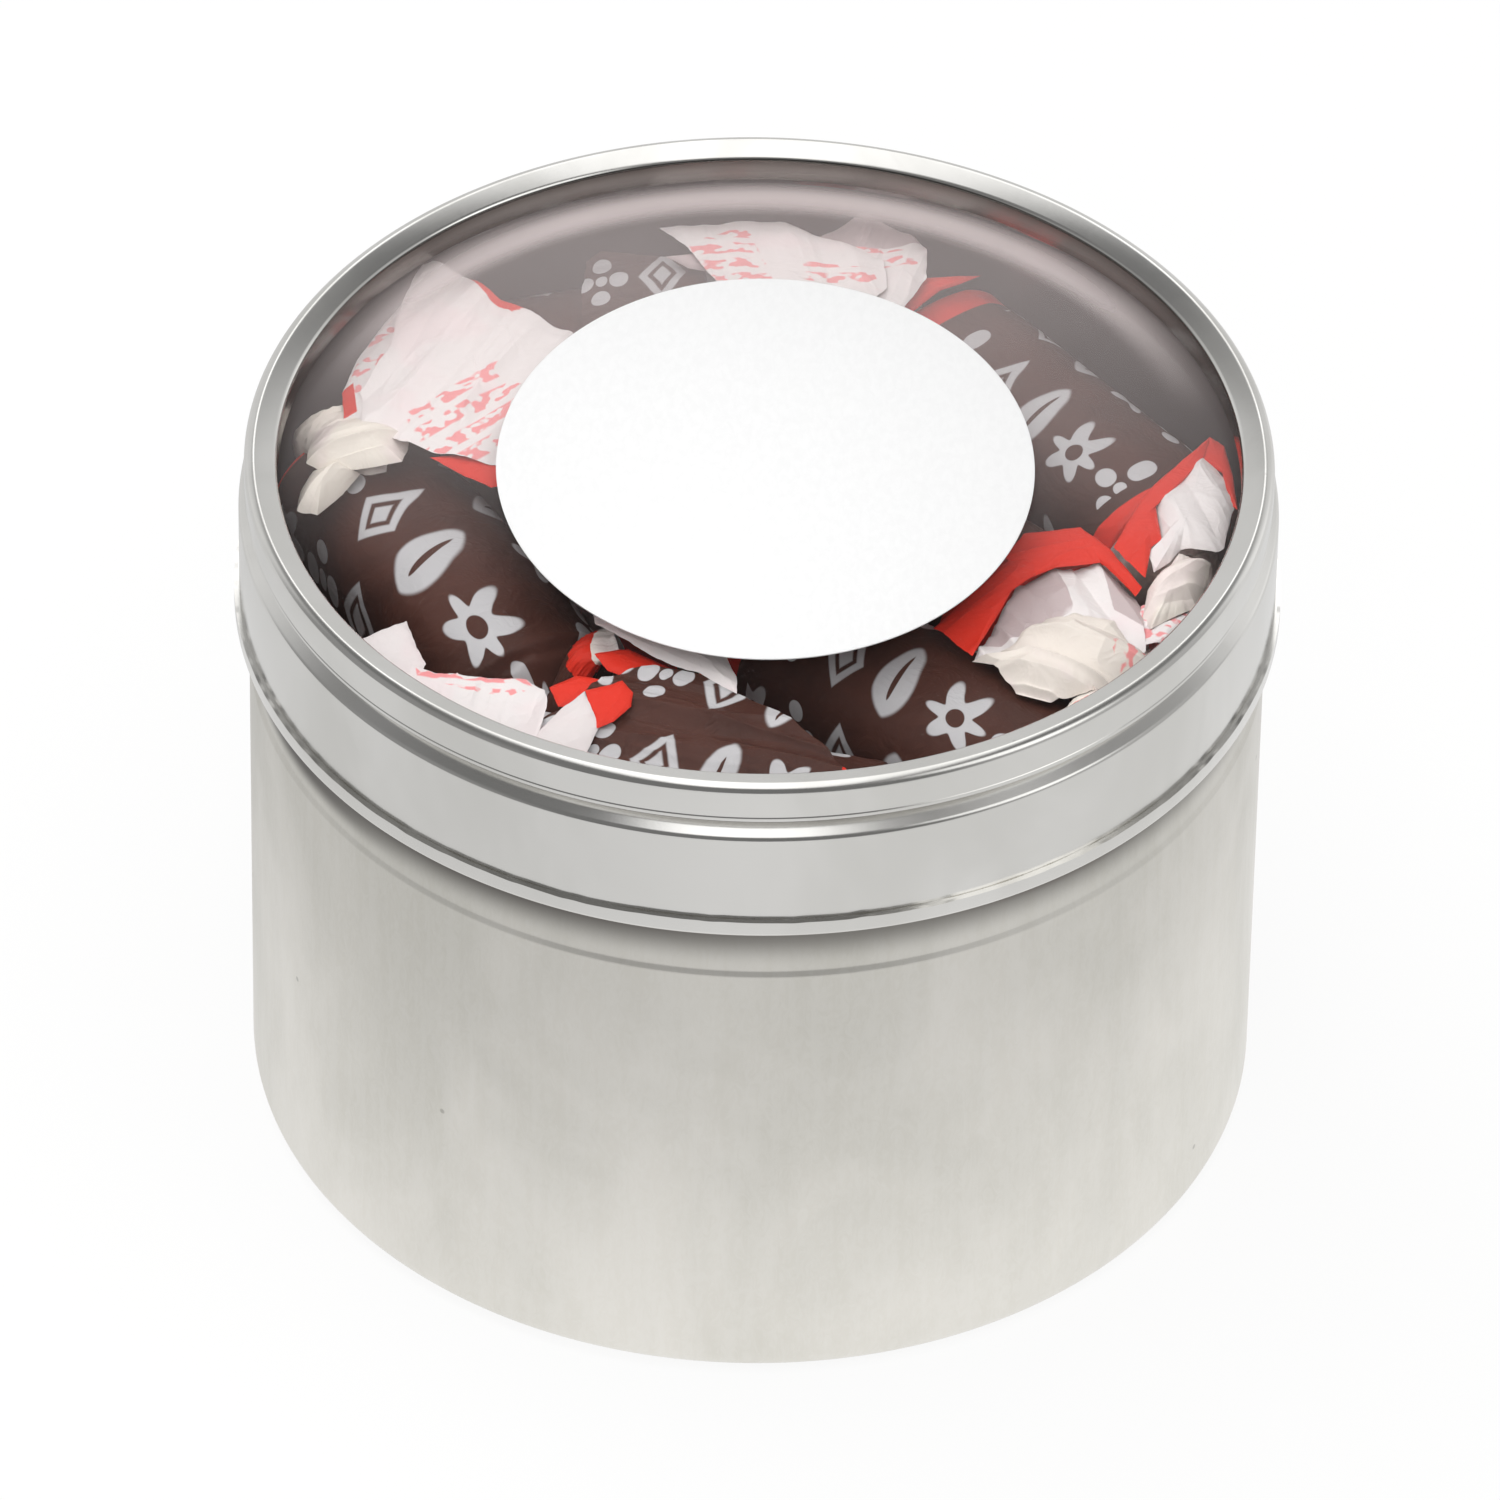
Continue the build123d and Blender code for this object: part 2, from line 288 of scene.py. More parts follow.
class Tree:
    """Adds nodes to a node tree. An input may be a number, a colour or another node's output."""

    def __init__(self, tree):
        self.tree = tree

    def add(self, kind, *values, **settings):
        """A new node of that kind, with its first inputs and its settings."""
        node = self.tree.nodes.new(kind)
        for key, value in settings.items():
            setattr(node, key, value)
        for socket, value in zip(node.inputs, values):
            self.feed(socket, value)
        return node

    def feed(self, socket, value):
        """Links or sets one input; None leaves it as it is."""
        if isinstance(value, bpy.types.NodeSocket):
            self.tree.links.new(value, socket)
        elif value is not None:
            socket.default_value = value

    def math(self, operation, *values, clamp=False):
        return self.add("ShaderNodeMath", *values, operation=operation, use_clamp=clamp).outputs[0]

    def times(self, first, second):
        return self.math("MULTIPLY", first, second)

    def place(self):
        """Place on the piece: object coordinates, in metres."""
        return self.add("ShaderNodeTexCoord").outputs["Object"]

    def parts(self, vector):
        """The vector's x, y and z."""
        return self.add("ShaderNodeSeparateXYZ", vector).outputs

    def size(self, vector):
        """The vector's length."""
        return self.add("ShaderNodeVectorMath", vector, operation="LENGTH").outputs["Value"]

    def step(self, value, low, high, start=0.0, end=1.0):
        """Eases from start to end while the value goes from low to high."""
        node = self.add("ShaderNodeMapRange", value, low, high, start, end, interpolation_type="SMOOTHSTEP")
        return node.outputs[0]

    def blend(self, factor, first, second):
        """Colour that goes from the first to the second with the factor."""
        node = self.add("ShaderNodeMix", data_type="RGBA", blend_type="MIX")
        for socket, value in ((node.inputs[0], factor), (node.inputs[6], first), (node.inputs[7], second)):
            self.feed(socket, (*value, 1.0) if isinstance(value, tuple) and len(value) == 3 else value)
        return node.outputs[2]

    def noise(self, vector, scale, detail=3.0, roughness=0.5, distortion=0.0):
        node = self.add("ShaderNodeTexNoise")
        for key, value in (("Vector", vector), ("Scale", scale), ("Detail", detail), ("Roughness", roughness),
                           ("Distortion", distortion)):
            self.feed(node.inputs[key], value)
        return node.outputs[0]

    def stretch(self, vector, x, y, z):
        """The vector with each part multiplied."""
        return self.add("ShaderNodeVectorMath", vector, (x, y, z), operation="MULTIPLY").outputs[0]

    def bump(self, height, strength, distance):
        node = self.add("ShaderNodeBump")
        for key, value in (("Strength", strength), ("Distance", distance), ("Height", height)):
            self.feed(node.inputs[key], value)
        return node.outputs[0]

    def group(self, name, **values):
        """Outputs of a shared effect with those inputs."""
        node = self.add("ShaderNodeGroup", node_tree=bpy.data.node_groups[name])
        for key, value in values.items():
            self.feed(node.inputs[key.replace("_", " ")], value)
        return node.outputs


def new_group(name, inputs, outputs):
    """Empty shader node group with named sockets; gives its nodes, what it is given and what it puts out."""
    tree = bpy.data.node_groups.new(name, "ShaderNodeTree")
    for label, kind, default in inputs:
        socket = tree.interface.new_socket(label, in_out="INPUT", socket_type=kind)
        if default is not None:
            socket.default_value = default
    for label, kind in outputs:
        tree.interface.new_socket(label, in_out="OUTPUT", socket_type=kind)
    nodes = Tree(tree)
    return nodes, nodes.add("NodeGroupInput").outputs, nodes.add("NodeGroupOutput").inputs


def new_material(name):
    """Material with a Principled BSDF; gives it, its nodes and that shader."""
    material = bpy.data.materials.new(name)
    material.use_nodes = True
    nodes = Tree(material.node_tree)
    shader = material.node_tree.nodes["Principled BSDF"]
    return material, nodes, shader


def set_shader(nodes, shader, **values):
    """Sets or links inputs of a shader by name."""
    for key, value in values.items():
        if isinstance(value, tuple) and len(value) == 3:
            value = (*value, 1.0)
        nodes.feed(shader.inputs[key.replace("_", " ")], value)


# Shared effects

def make_brushing_group():
    """Cloudy patches, short curved brush marks and specks of drawn tinplate."""
    nodes, given, out = new_group(
        "brushed tinplate",
        [("Vector", "NodeSocketVector", None), ("Grain", "NodeSocketFloat", 1.0), ("Specks", "NodeSocketFloat", 0.5),
         ("Gloss", "NodeSocketFloat", 0.25)],
        [("Cloud", "NodeSocketFloat"), ("Roughness", "NodeSocketFloat"), ("Height", "NodeSocketFloat"),
         ("Speck", "NodeSocketFloat")],
    )
    vector = given["Vector"]
    cloud = nodes.noise(nodes.stretch(vector, 1, 1, 0.6), 62, 4, 0.55, 0.6)
    cloud = nodes.step(cloud, 0.34, 0.68)
    swirl = nodes.noise(nodes.stretch(vector, 1, 1, 0.45), 1150, 3, 0.6, 2.2)
    long_marks = nodes.noise(nodes.stretch(vector, 1, 1, 0.10), 820, 3, 0.6, 0.3)
    grain = nodes.math("MULTIPLY_ADD", long_marks, 0.5, nodes.times(swirl, 0.5))
    grain = nodes.times(grain, given["Grain"])
    cells = nodes.add("ShaderNodeTexVoronoi", vector, None, 260, feature="F1")
    near = nodes.step(cells.outputs["Distance"], 0.035, 0.075, 1, 0)
    pick = nodes.add("ShaderNodeSeparateColor", cells.outputs["Color"]).outputs[0]
    speck = nodes.times(near, nodes.math("GREATER_THAN", pick, 0.93))
    nodes.feed(out["Cloud"], cloud)
    rough = nodes.math("MULTIPLY_ADD", cloud, 0.07, nodes.math("MULTIPLY_ADD", grain, 0.10, given["Gloss"]))
    nodes.feed(out["Roughness"], rough)
    nodes.feed(out["Height"], grain)
    nodes.feed(out["Speck"], nodes.times(speck, given["Specks"]))


def make_crinkle_group():
    """Fine folds of waxed paper."""
    nodes, given, out = new_group(
        "paper crinkle", [("Vector", "NodeSocketVector", None), ("Scale", "NodeSocketFloat", 1.0)],
        [("Height", "NodeSocketFloat")],
    )
    vector = nodes.add("ShaderNodeVectorMath", given["Vector"], operation="SCALE")
    nodes.feed(vector.inputs["Scale"], given["Scale"])
    broad = nodes.noise(vector.outputs[0], 330, 3, 0.55, 0.8)
    ridge = nodes.math("SUBTRACT", 1, nodes.math("ABSOLUTE", nodes.math("MULTIPLY_ADD", broad, 6, -3)))
    fine = nodes.noise(vector.outputs[0], 2400, 2, 0.5, 0.0)
    nodes.feed(out["Height"], nodes.math("MULTIPLY_ADD", fine, 0.15, nodes.math("MAXIMUM", ridge, 0)))


def make_motif_group():
    """Pale motifs in staggered rows: flowers, dots, lozenges and leaves.

    The input places are millimetres along the paper and round it. A motif takes one pitch along the paper
    and one line round it, is drawn in millimetres from its middle, and is then grown."""
    nodes, given, out = new_group(
        "row motifs", [("Along", "NodeSocketFloat", 0.0), ("Round", "NodeSocketFloat", 0.0)],
        [("Mask", "NodeSocketFloat")],
    )
    pitch, line, grown = 4.8, 8.6, 1.3
    row = nodes.math("FLOOR", nodes.math("DIVIDE", given["Round"], line))
    y = nodes.math("MULTIPLY_ADD", nodes.math("FRACT", nodes.math("DIVIDE", given["Round"], line)), line, -line / 2)
    slant = nodes.math("MULTIPLY_ADD", y, -0.22, nodes.math("MULTIPLY_ADD", row, 1.37, given["Along"]))
    place = nodes.math("DIVIDE", slant, pitch)
    column = nodes.math("FLOOR", place)
    x = nodes.math("MULTIPLY_ADD", nodes.math("FRACT", place), pitch, -pitch / 2)
    kind = nodes.math("FLOORED_MODULO", nodes.math("MULTIPLY_ADD", row, 3, column), 4)

    def reach(dx, dy, wide, high):
        """Distance from a centre as a share of the half width and half height."""
        u = nodes.math("DIVIDE", nodes.math("SUBTRACT", x, grown * dx), grown * wide)
        v = nodes.math("DIVIDE", nodes.math("SUBTRACT", y, grown * dy), grown * high)
        return nodes.size(nodes.add("ShaderNodeCombineXYZ", u, v, 0).outputs[0])

    def filled(distance, limit=1.0):
        """1 within the limit and 0 beyond it, with a soft edge."""
        return nodes.step(distance, limit - 0.06, limit + 0.06, 1, 0)

    def without(mask, hole):
        return nodes.math("SUBTRACT", mask, hole, clamp=True)

    def either(first, *others):
        for other in others:
            first = nodes.math("MAXIMUM", first, other)
        return first

    turn = nodes.math("ARCTAN2", y, x)
    petals = nodes.math("MULTIPLY_ADD", nodes.math("COSINE", nodes.times(turn, 6)), 0.24, 0.76)
    flower = without(filled(nodes.math("DIVIDE", reach(0, 0, 1.7, 2.2), petals)), filled(reach(0, 0, 0.5, 0.62)))
    dots = either(*(filled(reach(dx, dy, 0.58, 0.66)) for dx, dy in ((0, 1.5), (0, -1.5), (1.05, 0), (-1.05, 0))))
    dots = either(dots, filled(reach(0, 0, 0.36, 0.45)))
    leaf = nodes.times(filled(reach(0.9, 0, 1.95, 2.75)), filled(reach(-0.9, 0, 1.95, 2.75)))
    leaf = without(leaf, filled(reach(0, -0.3, 0.14, 1.5)))
    slope = nodes.math("ADD", nodes.math("DIVIDE", nodes.math("ABSOLUTE", x), 1.45 * grown),
                       nodes.math("DIVIDE", nodes.math("ABSOLUTE", y), 2.3 * grown))
    lozenge = without(filled(slope), nodes.math("SUBTRACT", filled(slope, 0.62), filled(slope, 0.38)))
    total = None
    for number, mask in enumerate((flower, dots, lozenge, leaf)):
        part = nodes.times(mask, nodes.math("COMPARE", kind, number, 0.1))
        total = part if total is None else nodes.math("ADD", total, part)
    nodes.feed(out["Mask"], total)


# Finishes

def tinplate_material(name, plain, dull, grain, specks, gloss, shades):
    """Satin tinplate with clouds, brush marks and specks.

    Each shade is a colour and masks, for painted shade and painted reflection laid over the metal. A mask
    (axis, low, high, start, end) eases from start to end while the place goes from low to high; its axis is
    ACROSS, UP or AWAY from the middle."""
    material, nodes, shader = new_material(name)
    place = nodes.place()
    effect = nodes.group("brushed tinplate", Vector=place, Grain=grain, Specks=specks, Gloss=gloss)
    base = nodes.blend(effect["Cloud"], tuple(plain), tuple(dull))
    marks = nodes.step(effect["Height"], 0.35, 0.62)
    base = nodes.blend(nodes.times(marks, 0.22), base, (0.90, 0.89, 0.86))
    axes = (*nodes.parts(place), nodes.size(nodes.stretch(place, 1, 1, 0)))
    # Painted shade and painted reflection, blended into the metal's colour
    for shade, *masks in shades:
        share = 1.0
        for axis, low, high, start, end in masks:
            share = nodes.times(nodes.step(axes[axis], low, high, start, end), share)
        base = nodes.blend(share, base, tuple(shade))
    base = nodes.blend(effect["Speck"], base, (0.10, 0.09, 0.08))
    set_shader(nodes, shader, Base_Color=base, Metallic=1.0, Roughness=effect["Roughness"],
               Normal=nodes.bump(effect["Height"], 0.22, 0.02 * MM))
    return material


def window_material(colours):
    """Clear plastic sheet with a faint uneven veil, and a painted reflection that grows towards the back and in a
    band near the rim.
    """
    material, nodes, shader = new_material("clear plastic sheet")
    place = nodes.place()
    cloud = nodes.noise(place, 38, 3, 0.5, 0.4)
    dust = nodes.step(nodes.noise(place, 2600, 2, 0.5, 0), 0.66, 0.80)
    depth = nodes.parts(place)[1]
    away = nodes.size(nodes.stretch(place, 1, 1, 0))
    # Painted reflection: the veil thickens from front to back
    haze_and_reflection = nodes.step(depth, -18 * MM, 36 * MM, 0.004, 0.17)
    haze_and_reflection = nodes.times(haze_and_reflection, nodes.step(cloud, 0.25, 0.8, 0.85, 1.15))
    # Painted reflection of the rim's inner wall: a band of veil near the rim, at the back
    edge = nodes.times(nodes.step(away, 32.5 * MM, 34.5 * MM), nodes.step(away, 34.7 * MM, 36.4 * MM, 1.0, 0.15))
    edge = nodes.times(edge, nodes.step(depth, 8 * MM, 34 * MM, 0.0, 0.40))
    haze_and_reflection = nodes.math("ADD", haze_and_reflection, edge)
    haze_and_reflection = nodes.math("MULTIPLY_ADD", dust, 0.04, haze_and_reflection)
    set_shader(nodes, shader, Base_Color=tuple(colours.haze_and_reflection), Roughness=nodes.step(cloud, 0.2, 0.8, 0.05, 0.11),
               Alpha=haze_and_reflection)
    return material


def label_material(colours):
    """Blank coated paper."""
    material, nodes, shader = new_material("blank label paper")
    place = nodes.place()
    fibre = nodes.noise(nodes.stretch(place, 1, 0.5, 1), 1800, 3, 0.6, 0.5)
    tint = tuple(0.97 * c for c in colours.label)
    set_shader(nodes, shader, Base_Color=nodes.blend(nodes.step(fibre, 0.3, 0.7), tuple(colours.label), tint),
               Roughness=nodes.step(fibre, 0.2, 0.8, 0.42, 0.52), Normal=nodes.bump(fibre, 0.05, 0.01 * MM))
    return material


def toffee_material(colours):
    """Smooth chocolate toffee with faint rolling marks."""
    material, nodes, shader = new_material("chocolate toffee")
    place = nodes.place()
    marks = nodes.noise(place, 240, 4, 0.6, 0.5)
    deep = tuple(0.6 * c for c in colours.toffee)
    set_shader(nodes, shader, Base_Color=nodes.blend(nodes.step(marks, 0.3, 0.7), deep, tuple(colours.toffee)),
               Roughness=nodes.step(marks, 0.3, 0.7, 0.35, 0.5), Normal=nodes.bump(marks, 0.2, 0.1 * MM))
    return material


def attribute(nodes, name):
    """Value of a point attribute, which is 0 on a mesh without it."""
    return nodes.add("ShaderNodeAttribute", attribute_name=name).outputs["Fac"]


def wrapper_material(colours):
    """Waxed paper: brown with pale motifs, then red, then open white with small red print.

    The UV map holds the place along the print and round the paper, in UV_UNIT millimetres."""
    material, nodes, shader = new_material("waxed candy paper")
    parts = nodes.parts(nodes.add("ShaderNodeUVMap").outputs[0])
    along = nodes.times(parts[0], UV_UNIT)
    around = nodes.times(parts[1], UV_UNIT)
    away = nodes.math("ABSOLUTE", along)
    place = nodes.place()
    tone = nodes.noise(place, 120, 3, 0.5, 0.3)
    motif = nodes.group("row motifs", Along=along, Round=around)["Mask"]
    motif = nodes.times(motif, nodes.math("LESS_THAN", away, MOTIFS_END))
    brown = nodes.blend(nodes.step(tone, 0.3, 0.7), tuple(colours.brown), tuple(1.5 * c for c in colours.brown))
    printed = nodes.blend(motif, brown, tuple(colours.pale))
    # Small red print: broken lines of little marks, where the mesh carries "marks"
    line = nodes.math("FRACT", nodes.math("DIVIDE", along, 2.1))
    in_line = nodes.times(nodes.step(line, 0.16, 0.26), nodes.step(line, 0.80, 0.90, 1, 0))
    mark_place = nodes.add("ShaderNodeCombineXYZ", nodes.times(along, 1.2), nodes.times(around, 0.85), 0).outputs[0]
    strokes = nodes.step(nodes.noise(mark_place, 1.0, 1, 0.5, 0), 0.46, 0.54)
    small = nodes.times(nodes.times(in_line, strokes), attribute(nodes, "marks"))
    open_paper = nodes.blend(nodes.step(away, RED_END, RED_END + 3), (0.66, 0.655, 0.68), tuple(colours.paper))
    open_paper = nodes.blend(attribute(nodes, "gathered"), open_paper, tuple(colours.knot))
    pink = nodes.step(nodes.noise(place, 170, 2, 0.5, 0.6), 0.48, 0.70, 0.0, 0.5)
    open_paper = nodes.blend(pink, open_paper, (0.83, 0.69, 0.70))
    # Thin paper shows the dark through, and whole sheets get painted shade in the same colour
    open_paper = nodes.blend(attribute(nodes, "thin_and_shaded"), open_paper, tuple(colours.thin_and_shaded))
    white = nodes.blend(nodes.times(small, 0.75), open_paper, (0.84, 0.17, 0.18))
    ends = nodes.blend(nodes.math("GREATER_THAN", away, RED_END), tuple(colours.red), white)
    ends = nodes.blend(attribute(nodes, "red"), ends, tuple(colours.red))
    base = nodes.blend(nodes.math("GREATER_THAN", away, BROWN_END), printed, ends)
    height = nodes.group("paper crinkle", Vector=place, Scale=1.0)["Height"]
    set_shader(nodes, shader, Base_Color=base, Roughness=nodes.step(tone, 0.3, 0.7, 0.40, 0.52),
               Normal=nodes.bump(height, 0.35, 0.12 * MM))
    shader.inputs["Specular IOR Level"].default_value = 0.25
    return material


# Tin and lid

def radius_of(node):
    """Outer radius of a round CAD node."""
    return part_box(node)[1].x


def body_section(tin):
    """Section of the cup, from the middle of the base round the wall to the middle of the floor."""
    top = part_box("tin_body")[1].z - tin.curl_room
    curl = radius_of("tin_body")
    neck = curl - tin.curl_stand
    wall = neck + tin.neck_step
    bore = neck - tin.sheet
    foot = wall - tin.foot_radius - tin.foot_width
    step = top + tin.curl_room - tin.neck_depth
    low = top - tin.curl_height
    return rounded([
        (0, tin.panel_rise),
        (foot - tin.panel_slope, tin.panel_rise, tin.panel_rise),
        (foot, 0, tin.panel_rise),
        (wall, 0, tin.foot_radius),
        (wall, step - tin.neck_slope, tin.neck_slope),
        (neck, step, tin.neck_slope),
        (neck - tin.neck_taper, step + tin.neck_depth / 3),
        (neck - tin.neck_taper, low),
        (curl, low, tin.curl_bend),
        (curl, top, tin.curl_bend),
        (bore, top, tin.sheet / 2),
        (bore - tin.neck_taper, low),
        (bore - tin.neck_taper, step + tin.neck_depth / 3),
        (bore, step, tin.neck_slope),
        (wall - tin.sheet, step - tin.neck_slope, tin.neck_slope),
        (wall - tin.sheet, tin.sheet, tin.foot_radius - tin.sheet),
        (foot, tin.sheet, tin.panel_rise),
        (foot - tin.panel_slope, tin.panel_rise + tin.sheet, tin.panel_rise),
        (0, tin.panel_rise + tin.sheet),
    ])


def lid_section(lid, tin):
    """Closed section of the lid's one sheet, from the crown out, down and back inside."""
    bottom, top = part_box("lid_ring")[0].z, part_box("lid_ring")[1].z
    window_low, window_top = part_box("window_pane")[0].z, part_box("window_pane")[1].z
    sheet = tin.sheet
    hem = radius_of("lid_ring")
    skirt = hem - sheet - lid.hem_gap
    bore = skirt - sheet
    ring = skirt - lid.ring_step
    groove = ring - lid.bead_depth
    rim = ring - lid.rim_width
    ledge = bottom + lid.skirt_depth
    groove_top = window_low - sheet
    groove_low = groove_top - lid.bead_height
    lip = groove_top + lid.lip_height

    # The rim slopes up from its inner wall and turns down to the ring with the crown bend
    slope, bend = lid.crown_slope, lid.crown_bend
    corner = top - bend + bend * (1 + math.sin(slope)) / math.cos(slope)
    inner_edge = corner - lid.rim_width * math.tan(slope)
    fine = lid.lip_line
    return rounded([
        (rim, inner_edge, lid.rim_bend),
        (ring, corner, bend),
        (ring, lip + 2 * fine, fine / 2),
        (ring - fine, lip + fine),
        (ring, lip, fine / 2),
        (ring, groove_top, lid.lip_bend),
        (groove, groove_top, lid.lip_line),
        (groove, groove_low, lid.lip_line),
        (skirt, groove_low - lid.ledge_fall, lid.shoulder_bend),
        (skirt, bottom + lid.hem_height - lid.hem_slot),
        (skirt + lid.hem_gap, bottom + lid.hem_height - lid.hem_slot),
        (skirt + lid.hem_gap, bottom + lid.hem_height),
        (hem, bottom + lid.hem_height),
        (hem, bottom, lid.hem_bend),
        (bore, bottom, lid.hem_bend / 2),
        (bore, ledge - sheet - lid.ledge_back, lid.shoulder_bend - sheet),
        (groove - sheet, groove_low - sheet),
        (groove - sheet, window_low),
        (ring - sheet, window_low),
        (ring - sheet, corner - sheet, bend - sheet),
        (rim + sheet, inner_edge - sheet, lid.rim_bend / 4),
        (rim + sheet, window_top),
        (rim, window_top),
    ])


def body_stray(tin):
    """The wall's slow waves, which fade out at the base and the mouth."""
    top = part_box("tin_body")[1].z
    radius = radius_of("tin_body")

    def stray(r, z, t):
        fade = np.sin(math.pi * np.clip(z / top, 0, 1)) * (r / radius) ** 8
        slow = wave(t, (0.55, 3, 0.4), (0.3, 5, 2.1), (0.15, 9, 1.0)) + wave(t + 40 * z, (0.2, 14, 0.3))
        return tin.waviness * fade * slow, 0 * r * t
    return stray


def lid_stray(lid, tin):
    """The lid's slow waves, and the ragged cut edge of its hem."""
    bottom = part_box("lid_ring")[0].z
    radius = radius_of("lid_ring")

    def stray(r, z, t):
        edge = (np.abs(z - bottom - lid.hem_height) < 1e-7) & (r > radius - 1.2 * tin.sheet)
        turns = t / (2 * math.pi)
        fine = value_noise(0 * t + 3, turns * 240, 5, 240)
        broad = value_noise(0 * t + 9, turns * 61, 6, 61)
        burr = 0.6 * fine + 0.6 * broad - 0.2
        slow = wave(t, (0.5, 2, 1.2), (0.3, 4, 0.2), (0.2, 7, 2.2))
        inward = -np.abs(lid.waviness * slow) * (r / radius) ** 6
        return inward + 0 * r, lid.hem_burr * burr * edge
    return stray


def body_shades(tin, finishes):
    """Painted shade and painted reflection on the body: darker under the lid, most of all at the left, and the
    candies' brown in its bore, whose mask also takes in the outside of the narrowed neck.
    """
    top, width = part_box("tin_body")[1].z, radius_of("tin_body")
    neck = top - tin.neck_depth
    bore = width - tin.curl_stand - tin.sheet
    return [
        # Painted shade: the neck darkens towards the lid's hem
        (finishes.shade, (UP, neck + 0.3 * MM, neck + 3.5 * MM, 0, 1),
         (ACROSS, -0.8 * width, 0.2 * width, 0.98, 0.80)),
        # Painted shade, deeper at the left of the neck
        (finishes.shade, (UP, neck + 0.2 * MM, neck + 2.0 * MM, 0, 1), (ACROSS, -35 * MM, -24 * MM, 1, 0)),
        # Painted reflection of the candies on the inner wall, from 2 mm up
        (finishes.bore, (AWAY, bore + 0.05 * MM, bore + 0.12 * MM, 0.85, 0), (UP, 2 * MM, 4 * MM, 0, 1)),
    ]


def lid_shades(lid, tin, finishes):
    """Painted shade and painted reflection on the lid: darker up the rim's inner wall, and a dark band at the
    foot of its hem.
    """
    low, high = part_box("lid_ring")
    inner = high.x - tin.sheet - lid.hem_gap - lid.ring_step - lid.rim_width
    return [
        # Painted shade on the rim's inner wall, darker towards its top
        (finishes.shade, (AWAY, inner + 0.04 * MM, inner + 0.10 * MM, 1, 0),
         (UP, high.z - 2.2 * MM, high.z - 0.6 * MM, 0.6, 0.97)),
        # Painted shade along the foot of the hem
        (finishes.shade, (UP, low.z + 0.10 * MM, low.z + 0.34 * MM, 0.9, 0)),
    ]


# Candies

def node_points(name):
    """Corner points of a CAD node."""
    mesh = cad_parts[name].data
    points = np.empty(3 * len(mesh.vertices), np.float32)
    mesh.vertices.foreach_get("co", points)
    return points.reshape(-1, 3).astype(float)


def tail_end(number, middle, direction, half):
    """How far the CAD wrapper reaches past its roll at one end, and its half width there, in millimetres."""
    plan = node_points(f"candy_wrapper_{number:02d}")[:, :2] - middle[:2]
    away = plan @ direction
    across = plan @ np.array((-direction[1], direction[0]))
    return (away.max() - half) / MM, np.abs(across[away > away.max() - 0.1 * MM]).max() / MM


def roll_frame(number):
    """Middle, plan direction and half sizes of a candy's roll, read from its CAD node."""
    points = node_points(f"candy_roll_{number:02d}")
    middle = (points.min(0) + points.max(0)) / 2
    plan = points[:, :2] - middle[:2]
    values, vectors = np.linalg.eigh(plan.T @ plan)
    direction = vectors[:, np.argmax(values)]
    direction = direction * (1 if direction[0] > 0 else -1)
    side = np.array((-direction[1], direction[0]))
    half = np.abs(plan @ direction).max(), np.abs(plan @ side).max(), (points[:, 2].max() - points[:, 2].min()) / 2
    return middle, direction, half


def eased(stations, key, at):
    """Values of one column of the stations at paper places, eased smoothly from station to station."""
    places = np.array([s["u"] for s in stations])
    values = np.array([s[key] for s in stations], float)
    index = np.clip(np.searchsorted(places, at) - 1, 0, len(places) - 2)
    share = np.clip((at - places[index]) / (places[index + 1] - places[index]), 0, 1)
    share = share * share * (3 - 2 * share)
    if values.ndim == 1:
        return values[index] * (1 - share) + values[index + 1] * share
    return values[index] * (1 - share[:, None]) + values[index + 1] * share[:, None]


def smooth_path(stations, at):
    """Points of a Catmull-Rom curve through the stations' centres."""
    places = np.array([s["u"] for s in stations])
    centres = np.array([s["at"] for s in stations], float)
    slopes = np.gradient(centres, places, axis=0)
    index = np.clip(np.searchsorted(places, at) - 1, 0, len(places) - 2)
    gap = (places[index + 1] - places[index])[:, None]
    t = (at - places[index])[:, None] / gap
    return ((2 * t**3 - 3 * t**2 + 1) * centres[index] + (t**3 - 2 * t**2 + t) * gap * slopes[index]
            + (3 * t**2 - 2 * t**3) * centres[index + 1] + (t**3 - t**2) * gap * slopes[index + 1])


def zigzag(phase):
    """Straight-sided wave between -1 and 1."""
    return 2 / math.pi * np.arcsin(np.sin(phase))


def print_places(u, t, half, bands):
    """Place along the print of each point at paper place u and turn t, in millimetres.

    It runs evenly from the middle to the brown's end, from there to the red's end, and then by true length.
    Both ends lean: they lie further out by a skew times cos(t)."""
    shown = 0 * t + 0 * u
    for side in (-1, 1):
        brown, red, brown_skew, red_skew = (value * MM for value in bands[side])
        past = side * u
        brown = half + brown + brown_skew * np.cos(t)
        red = half + red + red_skew * np.cos(t)
        in_red = BROWN_END + (RED_END - BROWN_END) * (past - brown) / (red - brown)
        reach = np.where(past < brown, BROWN_END * past / brown,
                         np.where(past < red, in_red, RED_END + (past - red) / MM))
        shown = np.where(past > 0, side * reach, shown)
    return shown


